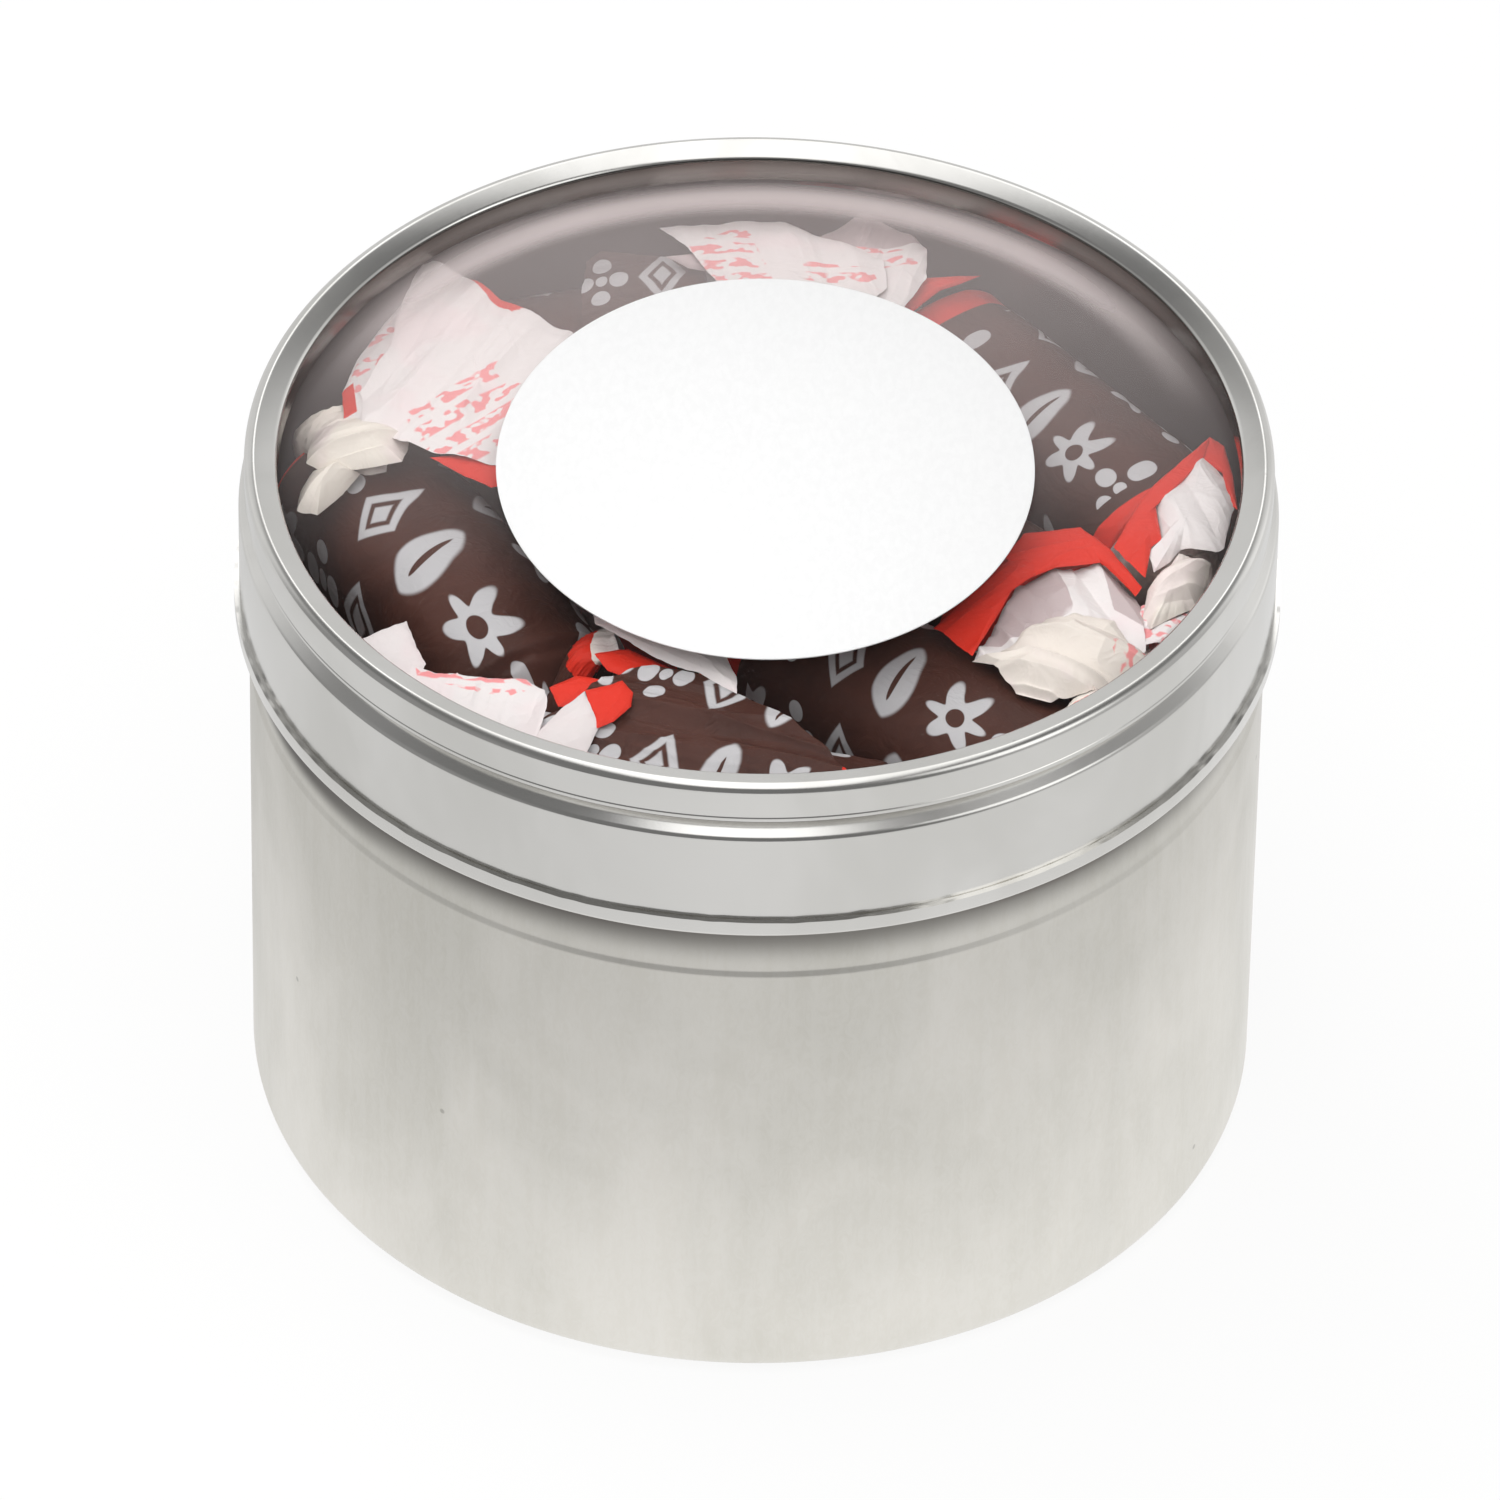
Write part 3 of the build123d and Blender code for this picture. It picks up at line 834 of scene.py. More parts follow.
def wrapper_mesh(name, stations, half, bands, printed_tip, along, around, seed, crease):
    """Paper tube round a path, gathered into twisted necks and opened into flat fans.

    At paper place u and turn t the point is centre(u) + w cx side + h cy up, where cx and cy run round a
    squared circle. Strands scale both by 1 + p cos(n t + twist(u)), pleats move both layers of a fan up and
    down together by a zigzag of cx, and creases lift the surface a little."""
    u = np.linspace(stations[0]["u"], stations[-1]["u"], along)
    t = np.linspace(0, 2 * math.pi, around + 1)[None, :]
    centre = smooth_path(stations, u)
    heading = np.gradient(centre, u, axis=0)
    heading /= np.linalg.norm(heading, axis=1)[:, None]
    turn = np.radians(eased(stations, "turn", u))
    side = np.stack([-np.sin(turn), np.cos(turn), 0 * turn], axis=1)
    up = np.cross(heading, side)
    up /= np.linalg.norm(up, axis=1)[:, None]
    side = np.cross(up, heading)
    keys = ("w", "h", "square", "strands", "twist", "pleats", "fray", "rough")
    w, h, square, strands, twist, pleats, fray, rough = (eased(stations, key, u)[:, None] for key in keys)
    twisted = t + np.radians(twist)
    cx = np.sign(np.cos(t)) * np.abs(np.cos(t)) ** (2 / square)
    cy = np.sign(np.sin(t)) * np.abs(np.sin(t)) ** (2 / square)
    ropes = (0.45 * np.abs(np.sin(2.5 * twisted + seed)) + 0.33 * np.abs(np.sin(6.5 * twisted + 2 * seed))
             + 0.22 * np.abs(np.sin(14.5 * twisted + seed)))
    gather = 1 + 0.62 * strands * (0.6 - ropes)
    cells = 9
    lift = crease * rough * creases(u[:, None] / (3.1 * MM) + seed, t / (2 * math.pi) * cells, seed, cells)
    grow = np.clip(h / (4 * MM), 0.12, 1)
    flat = np.clip(1 - h / (3 * MM), 0, 1)
    ray = 4.3 * cx + 0.9 * value_noise(0 * cx + seed, 1.7 * cx + 9, seed + 5)
    sway = pleats * (0.62 * zigzag(ray + seed) + 0.38 * zigzag(2.3 * ray - 2 * seed))
    sway = sway + pleats * flat * 0.9 * (creases(u[:, None] / (4.6 * MM), 2.4 * cx + 20, seed + 7) - 0.5)
    edge = fray * (0.8 * value_noise(0 * cx + 3.0, 2.3 * cx + 11, seed + 3) + 0.3 * zigzag(6 * cx) * cx)
    x = w * gather * cx + lift * grow * cx
    y = h * gather * cy + lift * grow * cy + sway
    points = (centre[:, None, :] + x[..., None] * side[:, None, :] + y[..., None] * up[:, None, :]
              + edge[..., None] * heading[:, None, :])
    points[:, -1] = points[:, 0]
    shown = print_places(u[:, None], t, half, bands)
    uv = np.stack([shown, 0 * shown + t / (2 * math.pi) * GIRTH], axis=2)
    return put_mesh(name, points.reshape(-1, 3), grid_faces(along, around + 1), uv.reshape(-1, 2) / UV_UNIT, sharp=75,
                    gathered=np.clip(strands / 0.25 + 0 * t, 0, 1).ravel(),
                    marks=((np.abs(u[:, None]) > printed_tip) & (np.cos(t) < 0.6)).astype(float).ravel())


def station(u, at, turn, w, h, square=2.0, strands=0.0, twist=0.0, pleats=0.0, fray=0.0, rough=0.4):
    """One place along the paper; lengths in millimetres, angles in degrees."""
    return {"u": u * MM, "at": np.array(at) * MM, "turn": turn, "w": w * MM, "h": h * MM, "square": square,
            "strands": strands, "twist": twist, "pleats": pleats * MM, "fray": fray * MM, "rough": rough}


# Twisted ends of the candies that show, placed by the photograph and given by candy and end. Each row is the
# paper past the neck, plan place, height, heading, half width, half thickness, strands, pleats and fray
ENDS = {
    (1, 1): ((2.5, (32.6, -2.6), 48.8, -85, 2.0, 2.0, 0.34, 0.0, 0.0),
             (6.5, (31.6, -6.8), 49.2, -100, 2.3, 1.5, 0.3, 0.3, 0.0),
             (11.5, (30.6, -11.4), 49.4, -105, 2.8, 0.7, 0.12, 0.5, 1.2)),
    (2, -1): ((2.5, (-33.6, 11.6), 49.6, 110, 2.2, 2.0, 0.3, 0.0, 0.0),
              (6.5, (-32.2, 9.6), 51.6, 20, 2.6, 1.7, 0.34, 0.0, 0.0),
              (10.0, (-30.0, 7.8), 51.9, 0, 2.0, 1.0, 0.26, 0.3, 0.0),
              (13.0, (-28.4, 7.6), 52.0, -5, 1.6, 0.4, 0.1, 0.3, 0.0)),
    (3, 1): ((2.5, (10.6, 30.6), 49.2, 60, 1.8, 1.5, 0.3, 0.0, 0.0),
             (5.5, (9.4, 30.4), 50.8, 165, 1.9, 0.8, 0.15, 0.3, 0.0),
             (9.0, (6.6, 29.6), 51.6, 185, 1.8, 0.4, 0.0, 0.3, 0.0)),
    (4, -1): ((2.5, (-21.4, -23.6), 51.4, 140, 2.0, 1.5, 0.3, 0.2, 0.0),
              (6.0, (-24.2, -20.6), 52.8, 137, 2.4, 0.6, 0.1, 0.3, 0.0)),
    (2, 1): ((2.0, (-13.2, -15.2), 50.6, -15, 1.9, 1.3, 0.3, 0.0, 0.0),
             (5.0, (-10.6, -14.6), 52.8, 5, 2.0, 0.6, 0.1, 0.2, 0.0)),
    (5, 1): ((3.0, (24.6, -22.6), 51.0, 20, 2.0, 1.5, 0.3, 0.2, 0.0),
             (6.5, (26.6, -21.4), 52.6, 60, 2.4, 0.9, 0.2, 0.5, 0.8)),
    (6, 1): ((2.0, (25.0, -9.0), 48.8, -40, 1.8, 1.8, 0.34, 0.0, 0.0),
             (5.5, (26.8, -11.6), 49.8, -50, 1.9, 1.6, 0.36, 0.0, 0.0),
             (9.5, (28.2, -14.8), 50.4, -60, 2.2, 1.4, 0.32, 0.3, 0.0),
             (12.5, (29.2, -17.2), 50.8, -68, 2.4, 1.0, 0.2, 0.4, 0.8)),
}

# Where the brown and the red end, past the roll's end, and how far both edges lean, by candy and end
BANDS = {
    (1, -1): (-2.6, 1.0, 0.3, 0.2), (1, 1): (-1.2, 1.2, 0.8, 0.9), (2, -1): (0.2, 0.9, 0.3, 0.3),
    (2, 1): (7.5, 8.5, 0.4, 0.3), (3, -1): (-0.6, 0.8, 0.3, 0.3), (4, -1): (-9.6, -4.2, 0.4, 0.5),
    (4, 1): (2.0, 3.0, 0.3, 0.3), (5, 1): (0.8, 1.4, 0.3, 0.3), (6, 1): (-4.6, 1.6, 1.2, -0.8),
}
PLAIN_BAND = (-3.2, 0.6, 0.4, 0.4)


# Loose paper under the window, by name: middle, height, tilt along x and y in hundredths, heading of the folds,
# their height, print heading, print offset, and outline. Lengths are millimetres and headings are degrees. All of
# it is placed to lie where the photograph shows paper
SHEETS = {
    "lobe_03": ((8.6, 29.6), 54.2, (4, -6), 75, 0.35, 95, 60,
                ((4.2, 33.4), (7.7, 36.5), (9.6, 35.1), (11.8, 33.0), (12.7, 31.6), (12.7, 28.0), (10.9, 23.7),
                 (6.0, 22.5), (3.4, 27.0))),
    "fan_03": ((3.0, 28.6), 54.9, (0, -10), 100, 0.25, 92, 60,
               ((-8.0, 33.5), (-0.8, 34.6), (1.2, 34.5), (3.1, 33.4), (7.0, 31.3), (9.4, 29.4), (9.6, 25.6),
                (7.0, 21.5), (0.0, 21.0), (-3.4, 25.6), (-5.8, 30.6))),
    "sliver_03": ((-5.4, 29.6), 54.1, (0, 0), 20, 0.1, 90, 60,
                  ((-7.6, 30.3), (-4.8, 30.7), (-3.6, 29.4), (-4.4, 28.6), (-5.8, 28.9))),
    "tip_02": ((-19.9, 23.4), 54.3, (0, 0), 40, 0.1, 90, 60,
               ((-22.5, 25.6), (-18.5, 23.4), (-17.8, 21.6), (-19.6, 21.4), (-21.6, 23.4))),
    "flap_02": ((-28.8, 14.5), 54.5, (12, 0), 60, 0.25, 129, 60,
                ((-27.4, 24.2), (-29.3, 20.6), (-31.1, 16.6), (-32.1, 12.8), (-31.9, 9.8), (-29.0, 8.6),
                 (-25.0, 14.0), (-24.4, 22.0))),
    "fan_02": ((-21.6, 13.6), 55.0, (2, 4), 62, 0.4, 129, 60,
               ((-26.4, 27.3), (-25.5, 27.5), (-22.9, 25.7), (-18.5, 21.9), (-14.9, 19.4), (-10.5, 14.0),
                (-11.0, 6.5), (-19.6, 3.9), (-22.4, 4.8), (-25.0, 5.6), (-27.5, 6.6), (-30.4, 8.6), (-30.6, 12.4),
                (-28.6, 17.6), (-27.8, 22.6))),
    "patch_02": ((-21.0, 4.4), 54.0, (0, 0), 20, 0.1, 129, 60,
                 ((-25.2, 5.4), (-22.0, 6.0), (-18.4, 5.4), (-18.4, 2.6), (-20.4, 1.9), (-22.6, 3.4))),
    "corner_04": ((-27.7, -19.4), 54.9, (-6, -4), 140, 0.12, 85, 60,
                  ((-29.6, -17.2), (-26.4, -14.7), (-25.5, -18.1), (-24.8, -19.9), (-25.8, -23.4), (-28.4, -24.4),
                   (-31.6, -19.6))),
    "fan_04": ((-20.6, -25.4), 54.6, (0, 6), 80, 0.25, 85, 60,
               ((-25.9, -20.3), (-24.0, -20.9), (-21.5, -21.3), (-19.6, -21.4), (-17.2, -21.6), (-15.8, -22.6),
                (-15.6, -24.2), (-16.3, -28.0), (-17.8, -31.6), (-23.4, -29.4), (-28.4, -24.2))),
    "cone_04": ((-13.8, -27.4), 54.3, (0, 10), 40, 0.2, 60, 60,
                ((-16.4, -27.4), (-14.6, -24.6), (-12.8, -22.6), (-11.7, -26.4), (-13.0, -30.4), (-15.0, -33.2),
                 (-17.6, -32.6))),
    "band_04": ((-13.0, -21.6), 54.0, (0, 0), 30, 0.2, 60, 60,
                ((-15.5, -21.5), (-13.5, -20.0), (-11.4, -20.6), (-10.4, -22.4), (-12.6, -23.4), (-14.8, -23.6))),
    "flap_04": ((-4.0, -26.4), 53.7, (0, 14), -14, 0.5, -14, 1,
                ((-15.9, -25.3), (-12.8, -22.2), (-11.3, -20.6), (-9.4, -19.7), (-7.5, -19.6), (-4.0, -20.4),
                 (-1.4, -22.0), (1.8, -23.7), (5.0, -26.8), (7.8, -31.0), (7.0, -35.0), (0.0, -36.4), (-6.0, -35.4),
                 (-10.6, -33.6), (-13.0, -31.0))),
    "end_04": ((-10.7, -23.6), 54.7, (0, 10), 60, 0.2, 60, 60,
               ((-12.8, -22.7), (-10.0, -21.5), (-9.2, -22.9), (-9.3, -24.3), (-10.6, -26.0), (-11.8, -26.6))),
    "strip_02": ((-5.6, -16.4), 54.9, (0, 8), -30, 0.3, -35, 60,
                 ((-12.6, -12.4), (-12.1, -15.4), (-10.3, -16.7), (-8.0, -18.5), (-6.3, -19.5), (-4.2, -20.3),
                  (-1.4, -22.4), (-1.5, -20.4), (-2.4, -17.8), (-4.4, -13.6), (-8.6, -11.2))),
    "under_02": ((-9.2, -18.3), 53.6, (0, 0), -30, 0.2, -35, 60,
                 ((-12.2, -17.0), (-9.6, -16.4), (-6.4, -18.6), (-6.8, -20.2), (-8.8, -20.2), (-11.2, -18.8))),
    "collar_06": ((18.0, -10.0), 53.1, (0, 0), 50, 0.15, 49, 60,
                  ((13.4, -12.7), (16.3, -15.9), (19.7, -7.2), (21.4, -5.9), (20.9, -2.8), (18.4, -5.3))),
    "arch_06": ((25.2, -2.5), 53.1, (0, 0), 20, 0.15, 49, 60,
                ((19.7, -7.2), (20.5, -6.7), (22.6, -5.3), (26.0, -4.6), (28.6, -8.5), (29.1, -7.5), (26.9, -3.3),
                 (24.5, -0.5), (20.3, -1.4), (18.7, -3.8))),
    "cone_06": ((23.8, -10.3), 52.6, (0, 0), -65, 0.7, 49, 60,
                ((16.5, -15.3), (19.7, -6.5), (20.5, -6.0), (22.6, -4.6), (26.0, -3.9), (28.7, -7.9), (29.2, -9.1),
                 (29.4, -13.8), (27.4, -15.6), (22.9, -15.1), (18.4, -15.8))),
    "wrap_06": ((24.4, -15.4), 54.2, (0, 0), -24, 1.1, -14, 60,
                ((16.3, -16.4), (19.7, -13.9), (21.7, -11.0), (23.9, -10.6), (27.0, -11.6), (29.3, -14.9),
                 (29.6, -16.4), (27.4, -18.8), (24.9, -19.9), (22.0, -20.4), (19.7, -19.5), (17.9, -16.8))),
    "collar_01": ((29.4, 0.6), 53.0, (0, 0), 60, 0.2, 49, 60,
                  ((34.5, 10.7), (30.2, 4.8), (29.1, 2.8), (27.0, -2.7), (29.4, -6.3), (29.9, -2.6), (30.7, -1.7),
                   (30.2, 2.8), (32.1, 4.9), (33.9, 7.9))),
    "side_01": ((35.3, 7.2), 52.8, (0, 0), 90, 0.1, 49, 60,
                ((34.5, 11.0), (35.6, 9.8), (36.2, 6.4), (36.5, 2.2), (35.9, 2.8), (35.4, 6.6), (33.9, 8.2))),
    "flap_01": ((32.8, 0.7), 53.4, (0, 0), -70, 0.35, 49, 60,
                ((33.9, 8.4), (35.8, 5.8), (36.3, 2.8), (35.4, -2.1), (34.9, -2.6), (32.1, -2.6), (30.1, -5.5),
                 (29.6, -3.1), (30.6, -1.4), (30.3, 3.2), (31.5, 5.0))),
    "rope_01": ((31.8, -7.2), 54.1, (0, 0), 35, 1.0, 49, 60,
                ((30.1, -6.0), (29.6, -7.7), (29.2, -10.2), (29.8, -11.8), (31.4, -10.5), (33.3, -8.9), (34.1, -6.4),
                 (34.4, -4.4), (33.6, -3.3), (32.0, -3.1))),
    "tip_01": ((31.0, -10.6), 52.4, (0, 0), 35, 0.5, 60, 60,
               ((29.1, -8.8), (28.7, -11.5), (29.3, -13.2), (30.9, -13.0), (32.8, -10.2), (34.0, -7.4), (32.8, -7.2),
                (30.5, -8.5))),
    "rope_02": ((-30.8, 7.2), 54.9, (0, 0), 20, 0.5, 10, 60,
                ((-34.6, 4.9), (-34.3, 8.5), (-33.0, 10.0), (-30.8, 10.3), (-28.6, 9.3), (-26.8, 7.9), (-27.3, 5.1),
                 (-30.5, 4.4), (-33.2, 4.1))),
    "low_02": ((-33.2, 2.8), 53.9, (0, 0), 60, 0.6, 60, 60,
               ((-33.2, 5.3), (-30.5, 4.9), (-31.8, 2.5), (-33.6, -0.1), (-35.2, -0.1), (-35.0, 2.6), (-34.3, 4.8))),
    "back_03": ((-9.0, 27.6), 53.0, (0, 0), 15, 0.3, 12, 1.6,
                ((-13.9, 23.1), (-14.0, 26.8), (-13.7, 30.9), (-12.6, 32.0), (-8.2, 31.9), (-5.0, 31.4),
                 (-3.2, 28.6), (-3.1, 24.6), (-9.4, 22.0))),
    "band_01": ((13.0, 27.7), 53.2, (0, 0), 30, 0.15, 49, 60,
                ((10.7, 25.6), (12.6, 29.3), (16.9, 29.7), (15.3, 28.6), (13.8, 27.8), (11.6, 25.1))),
}
HALF_PAPER = 0.05
# An outline round the whole tin
EVERYWHERE = (((-40, -40), (40, -40), (40, 40), (-40, 40)),)

# How much lower a sheet's edge lies than its middle: a little, and more where it is gathered into a rope or domed
PLAIN_CROWN = 0.25
CROWNED = {"wrap_06": 1.5, "cone_06": 0.6, "rope_01": 1.5, "flap_01": 0.9, "rope_02": 1.5, "low_02": 1.3,
           "tip_01": 0.5}

# Where the sheets carry small red print, solid red or show the dark through, as outlines in plan
MARKS = {
    "fan_03": (((-5.9, 31.3), (-1.2, 33.8), (-0.6, 31.0), (0.8, 26.0), (-3.2, 25.4), (-5.2, 29.0)),
               ((3.2, 28.7), (8.4, 27.9), (9.4, 25.2), (3.2, 25.2))),
    "lobe_03": (((7.2, 31.4), (9.2, 31.6), (12.0, 31.0), (12.0, 29.4), (9.6, 28.2)),),
    "flap_02": (((-29.6, 21.4), (-25.6, 22.0), (-26.4, 19.6), (-30.3, 18.0)),
                ((-31.0, 16.6), (-27.4, 17.4), (-28.6, 14.0), (-32.0, 12.0))),
    "fan_02": (((-27.6, 10.4), (-22.6, 13.6), (-20.6, 15.6), (-18.0, 12.4), (-14.0, 10.0), (-17.4, 4.0),
                (-20.6, 4.2), (-25.6, 5.8)),),
    "fan_04": (((-25.6, -20.2), (-17.2, -21.4), (-16.6, -22.6), (-18.4, -23.7), (-20.8, -23.2), (-25.4, -21.9)),),
    "wrap_06": (((26.6, -15.0), (29.8, -14.6), (30.0, -17.0), (27.2, -18.0)),),
    "tip_01": EVERYWHERE,
}
REDS = {
    "fan_02": (((-22.6, 25.6), (-20.1, 25.2), (-18.0, 22.2), (-19.3, 21.4), (-21.0, 23.0)),),
    "tip_02": (((-24, 27), (-16, 27), (-16, 20), (-24, 20)),),
    "flap_02": (((-32.3, 12.8), (-31.3, 13.8), (-30.9, 10.4), (-32.2, 9.6)),),
    "patch_02": (((-26, 8), (-17, 8), (-17, 0), (-26, 0)),),
    "band_04": (((-17, -18), (-9, -18), (-9, -25), (-17, -25)),),
    "end_04": (((-14, -20), (-8, -20), (-8, -28), (-14, -28)),),
    "under_02": (((-14, -14), (-5, -14), (-5, -22), (-14, -22)),),
    "collar_06": EVERYWHERE,
    "arch_06": EVERYWHERE,
    "collar_01": EVERYWHERE,
    "side_01": EVERYWHERE,
    "band_01": EVERYWHERE,
    "back_03": (((-11.8, 33.0), (-7.6, 33.0), (-7.6, 31.2), (-11.8, 31.2)),),
}
THINS = {
    "lobe_03": (((4.0, 33.6), (7.7, 37.5), (10.6, 35.6), (12.3, 32.4), (10.8, 31.7), (7.0, 31.4)),),
    "sliver_03": (((-9, 33), (-3, 33), (-3, 28), (-9, 28)),),
    "cone_06": (((19.7, -6.5), (22.6, -4.4), (24.0, -10.0), (20.6, -13.0), (17.0, -14.0)),
                ((26.0, -3.9), (29.0, -8.0), (29.4, -11.6), (27.0, -9.6))),
}
# How far a whole sheet is darkened with painted shade, in the colour of thin paper
SHADED = {"corner_04": 0.25, "fan_04": 0.10, "cone_04": 0.28, "wrap_06": 0.22, "strip_02": 0.1}
# Sheets of the creamier look of gathered paper
GATHERED = {name: EVERYWHERE for name in ("wrap_06", "rope_01", "rope_02", "low_02")}


def inside(x, y, outline):
    """1 where the places lie inside the outline, and 0 elsewhere, by counting the edges passed on one side."""
    odd = np.zeros(x.shape, bool)
    for (ax, ay), (bx, by) in zip(outline, outline[1:] + outline[:1]):
        spans = (ay > y) != (by > y)
        odd ^= spans & (x < (bx - ax) * (y - ay) / (by - ay + 1e-12) + ax)
    return odd.astype(float)


def build_sheet(name, material, around=300, rings=70):
    """Thin closed sheet over an outline that its middle sees in full.

    The point at share q and outline place s is middle + q (outline(s) - middle). Its height is the height of
    the middle plus the tilt, folds that run along the heading, and a curl down towards the edge. Both faces lie
    half the paper from it and meet at the edge."""
    middle, height, tilt, heading, fold, print_heading, offset, outline = SHEETS[name]
    corners = np.array(outline + outline[:1], float)
    middle = np.array(middle, float)
    steps = np.linalg.norm(np.diff(corners, axis=0), axis=1)
    places = np.concatenate([[0], np.cumsum(steps)])
    round_place = np.linspace(0, places[-1], around + 1)
    edge = np.stack([np.interp(round_place, places, corners[:, axis]) for axis in (0, 1)], axis=1)
    seed = sum(ord(letter) for letter in name)
    q = np.sqrt(np.linspace(0, 1, rings))[:, None]
    turns = round_place / places[-1]
    ragged = (1 + 0.012 * value_noise(0 * turns + 2, turns * 40, seed, 40)
              + 0.006 * value_noise(0 * turns + 7, turns * 97, seed + 1, 97))
    x = middle[0] + q * ragged * (edge[:, 0] - middle[0])
    y = middle[1] + q * ragged * (edge[:, 1] - middle[1])
    c, s = math.cos(math.radians(heading)), math.sin(math.radians(heading))
    with_folds, across = c * x + s * y, -s * x + c * y
    bent = 1.5 * across + 1.2 * value_noise(across / 6, with_folds / 9, seed + 2)
    waves = 0.5 * zigzag(bent) + 0.8 * creases(across / 2.6, with_folds / 11, seed + 3)
    z = (height + (tilt[0] * (x - middle[0]) + tilt[1] * (y - middle[1])) / 100 + fold * (waves - 0.4)
         - CROWNED.get(name, PLAIN_CROWN) * q ** 3)
    half = HALF_PAPER * (1 - q ** 14)
    top, low = np.stack([x, y, z + half], axis=2), np.stack([x, y, z - half], axis=2)
    points = np.concatenate([top, low[::-1]])
    points[:, -1] = points[:, 0]
    c, s = math.cos(math.radians(print_heading)), math.sin(math.radians(print_heading))
    uv = np.stack([offset + c * (x - middle[0]) + s * (y - middle[1]), -s * x + c * y], axis=2)
    uv = np.concatenate([uv, uv[::-1]])
    masks = {}
    for label, table in (("marks", MARKS), ("red", REDS), ("thin_and_shaded", THINS), ("gathered", GATHERED)):
        mask = sum((inside(x, y, shape) for shape in table.get(name, ())), 0 * x)
        masks[label] = np.concatenate([mask, mask[::-1]]).ravel()
    # Painted shade on whole sheets, as far as SHADED says, in the same colour as thin paper
    masks["thin_and_shaded"] = np.maximum(masks["thin_and_shaded"], SHADED.get(name, 0))
    obj = put_mesh(f"sheet_{name}", MM * points.reshape(-1, 3), grid_faces(2 * rings, around + 1),
                   uv.reshape(-1, 2) / UV_UNIT, sharp=60, **masks)
    return finish_piece(obj, material, "tin", "waxed_wrapper")


def build_roll(number, material):
    """Rounded toffee roll that stands for the CAD roll of that number.

    The point at place u and turn t is u along the axis and a squared circle of half sizes w and h across it,
    which shrinks towards the ends by the eighth power of u."""
    middle, direction, (half, wide, high) = roll_frame(number)
    side = np.array((-direction[1], direction[0], 0))
    forward = np.array((*direction, 0))
    slack = 0.35 * MM
    share = np.sin(np.linspace(-math.pi / 2, math.pi / 2, 31))[:, None]
    t = np.linspace(0, 2 * math.pi, 49)[None, :]
    size = np.sqrt(1 - share ** 8)
    cx = np.sign(np.cos(t)) * np.abs(np.cos(t)) ** 0.85
    cy = np.sign(np.sin(t)) * np.abs(np.sin(t)) ** 0.85
    points = (middle + ((half - slack) * share + 0 * t)[..., None] * forward
              + ((wide - slack) * size * cx)[..., None] * side
              + ((high - slack) * size * cy)[..., None] * np.array((0, 0, 1)))
    points[:, -1] = points[:, 0]
    obj = put_mesh(f"toffee_{number:02d}", points.reshape(-1, 3), grid_faces(31, 49))
    return finish_piece(obj, material, "tin", "candy_roll", f"candy_roll_{number:02d}")


def candy_stations(number, candy):
    """Stations of one wrapper from tail to tail, round its CAD roll."""
    middle, direction, (half, wide, high) = roll_frame(number)
    ends = {side: tail_end(number, middle, side * direction, half) for side in (-1, 1)}
    middle, half, wide, high = middle / MM, half / MM, wide / MM, high / MM
    wide, high = wide + candy.paper / MM, high + candy.paper / MM
    neck = candy.neck / MM
    turn = math.degrees(math.atan2(direction[1], direction[0]))
    # The neck is narrowest this far past the roll, measured on the paper and in plan, and has this much twist
    neck_paper, neck_place, neck_twist = 5.2, 3.9, 120

    def along(distance, lift=0.0):
        return (middle[0] + distance * direction[0], middle[1] + distance * direction[1], middle[2] + lift)

    def end(side):
        """Stations of one end, from the roll outwards."""
        reach, tail = ends[side]
        rows = [
            (half - 6, along(side * (half - 6)), wide, high, 2.6, 0.0, 0, 0.25),
            (half + 0.1, along(side * (half + 0.1)), wide * 0.99, high * 0.99, 2.4, 0.0, 0, 0.6),
            (half + 1.6, along(side * (half + 0.9)), wide * 0.82, high * 0.82, 2.1, 0.08, 12, 1.0),
            (half + 3.6, along(side * (half + 2.6)), neck * 1.5, neck * 1.45, 2.0, 0.26, 60, 0.8),
            (half + neck_paper, along(side * (half + neck_place)), neck, neck, 2.0, 0.34, neck_twist, 0.4),
        ]
        out = [station(side * u, at, turn, w, h, square, strands, side * twist, rough=rough)
               for u, at, w, h, square, strands, twist, rough in rows]
        placed = ENDS.get((number, side))
        if placed is None and reach < 4:
            out[-1] = station(side * (half + 4.4), along(side * (half + reach - 0.15)), turn, neck, 0.0,
                              twist=side * 90)
            return out
        if placed is None:
            for share, thick in ((0.35, 0.8), (0.75, 0.45), (1.0, 0.0)):
                past = share * (reach - 3.5) - 0.1
                at = along(side * (half + neck_place + 0.9 * past))
                out.append(station(side * (half + neck_paper + past), at, turn, neck + share * (tail - neck),
                                   thick * neck, 2.0, 0.2, side * (neck_twist + 12 * past), 0.25, side * 0.2, 0.6))
            return out
        for past, plan, height, heading, w, h, strands, pleats, fray in placed:
            heading = heading if side > 0 else heading - 180
            heading = turn + (heading - turn + 180) % 360 - 180
            out.append(station(side * (half + neck_paper + past), (*plan, height), heading, w, h, 2.0, strands,
                               side * (neck_twist + 26 * past), pleats, side * fray, 1.0))
        out[-1]["h"] = 0.0
        return out

    return end(-1)[::-1] + end(1), half


def build_candy(number, candy, material):
    """One wrapper that stands for the CAD wrapper of that number."""
    stations, half = candy_stations(number, candy)
    bands = {side: BANDS.get((number, side), PLAIN_BAND) for side in (-1, 1)}
    scale = 1 if number <= CANDIES_SHOWN else 0.4
    tip = stations[-1]["u"] - 2.6 * MM if number in (1, 5, 6) else 1.0
    obj = wrapper_mesh(f"paper_{number:02d}", stations, half * MM, bands, tip, round(scale * candy.along),
                       8 * round(scale * candy.around / 8), number, candy.crease)
    return finish_piece(obj, material, "tin", "waxed_wrapper", f"candy_wrapper_{number:02d}")


# Operators

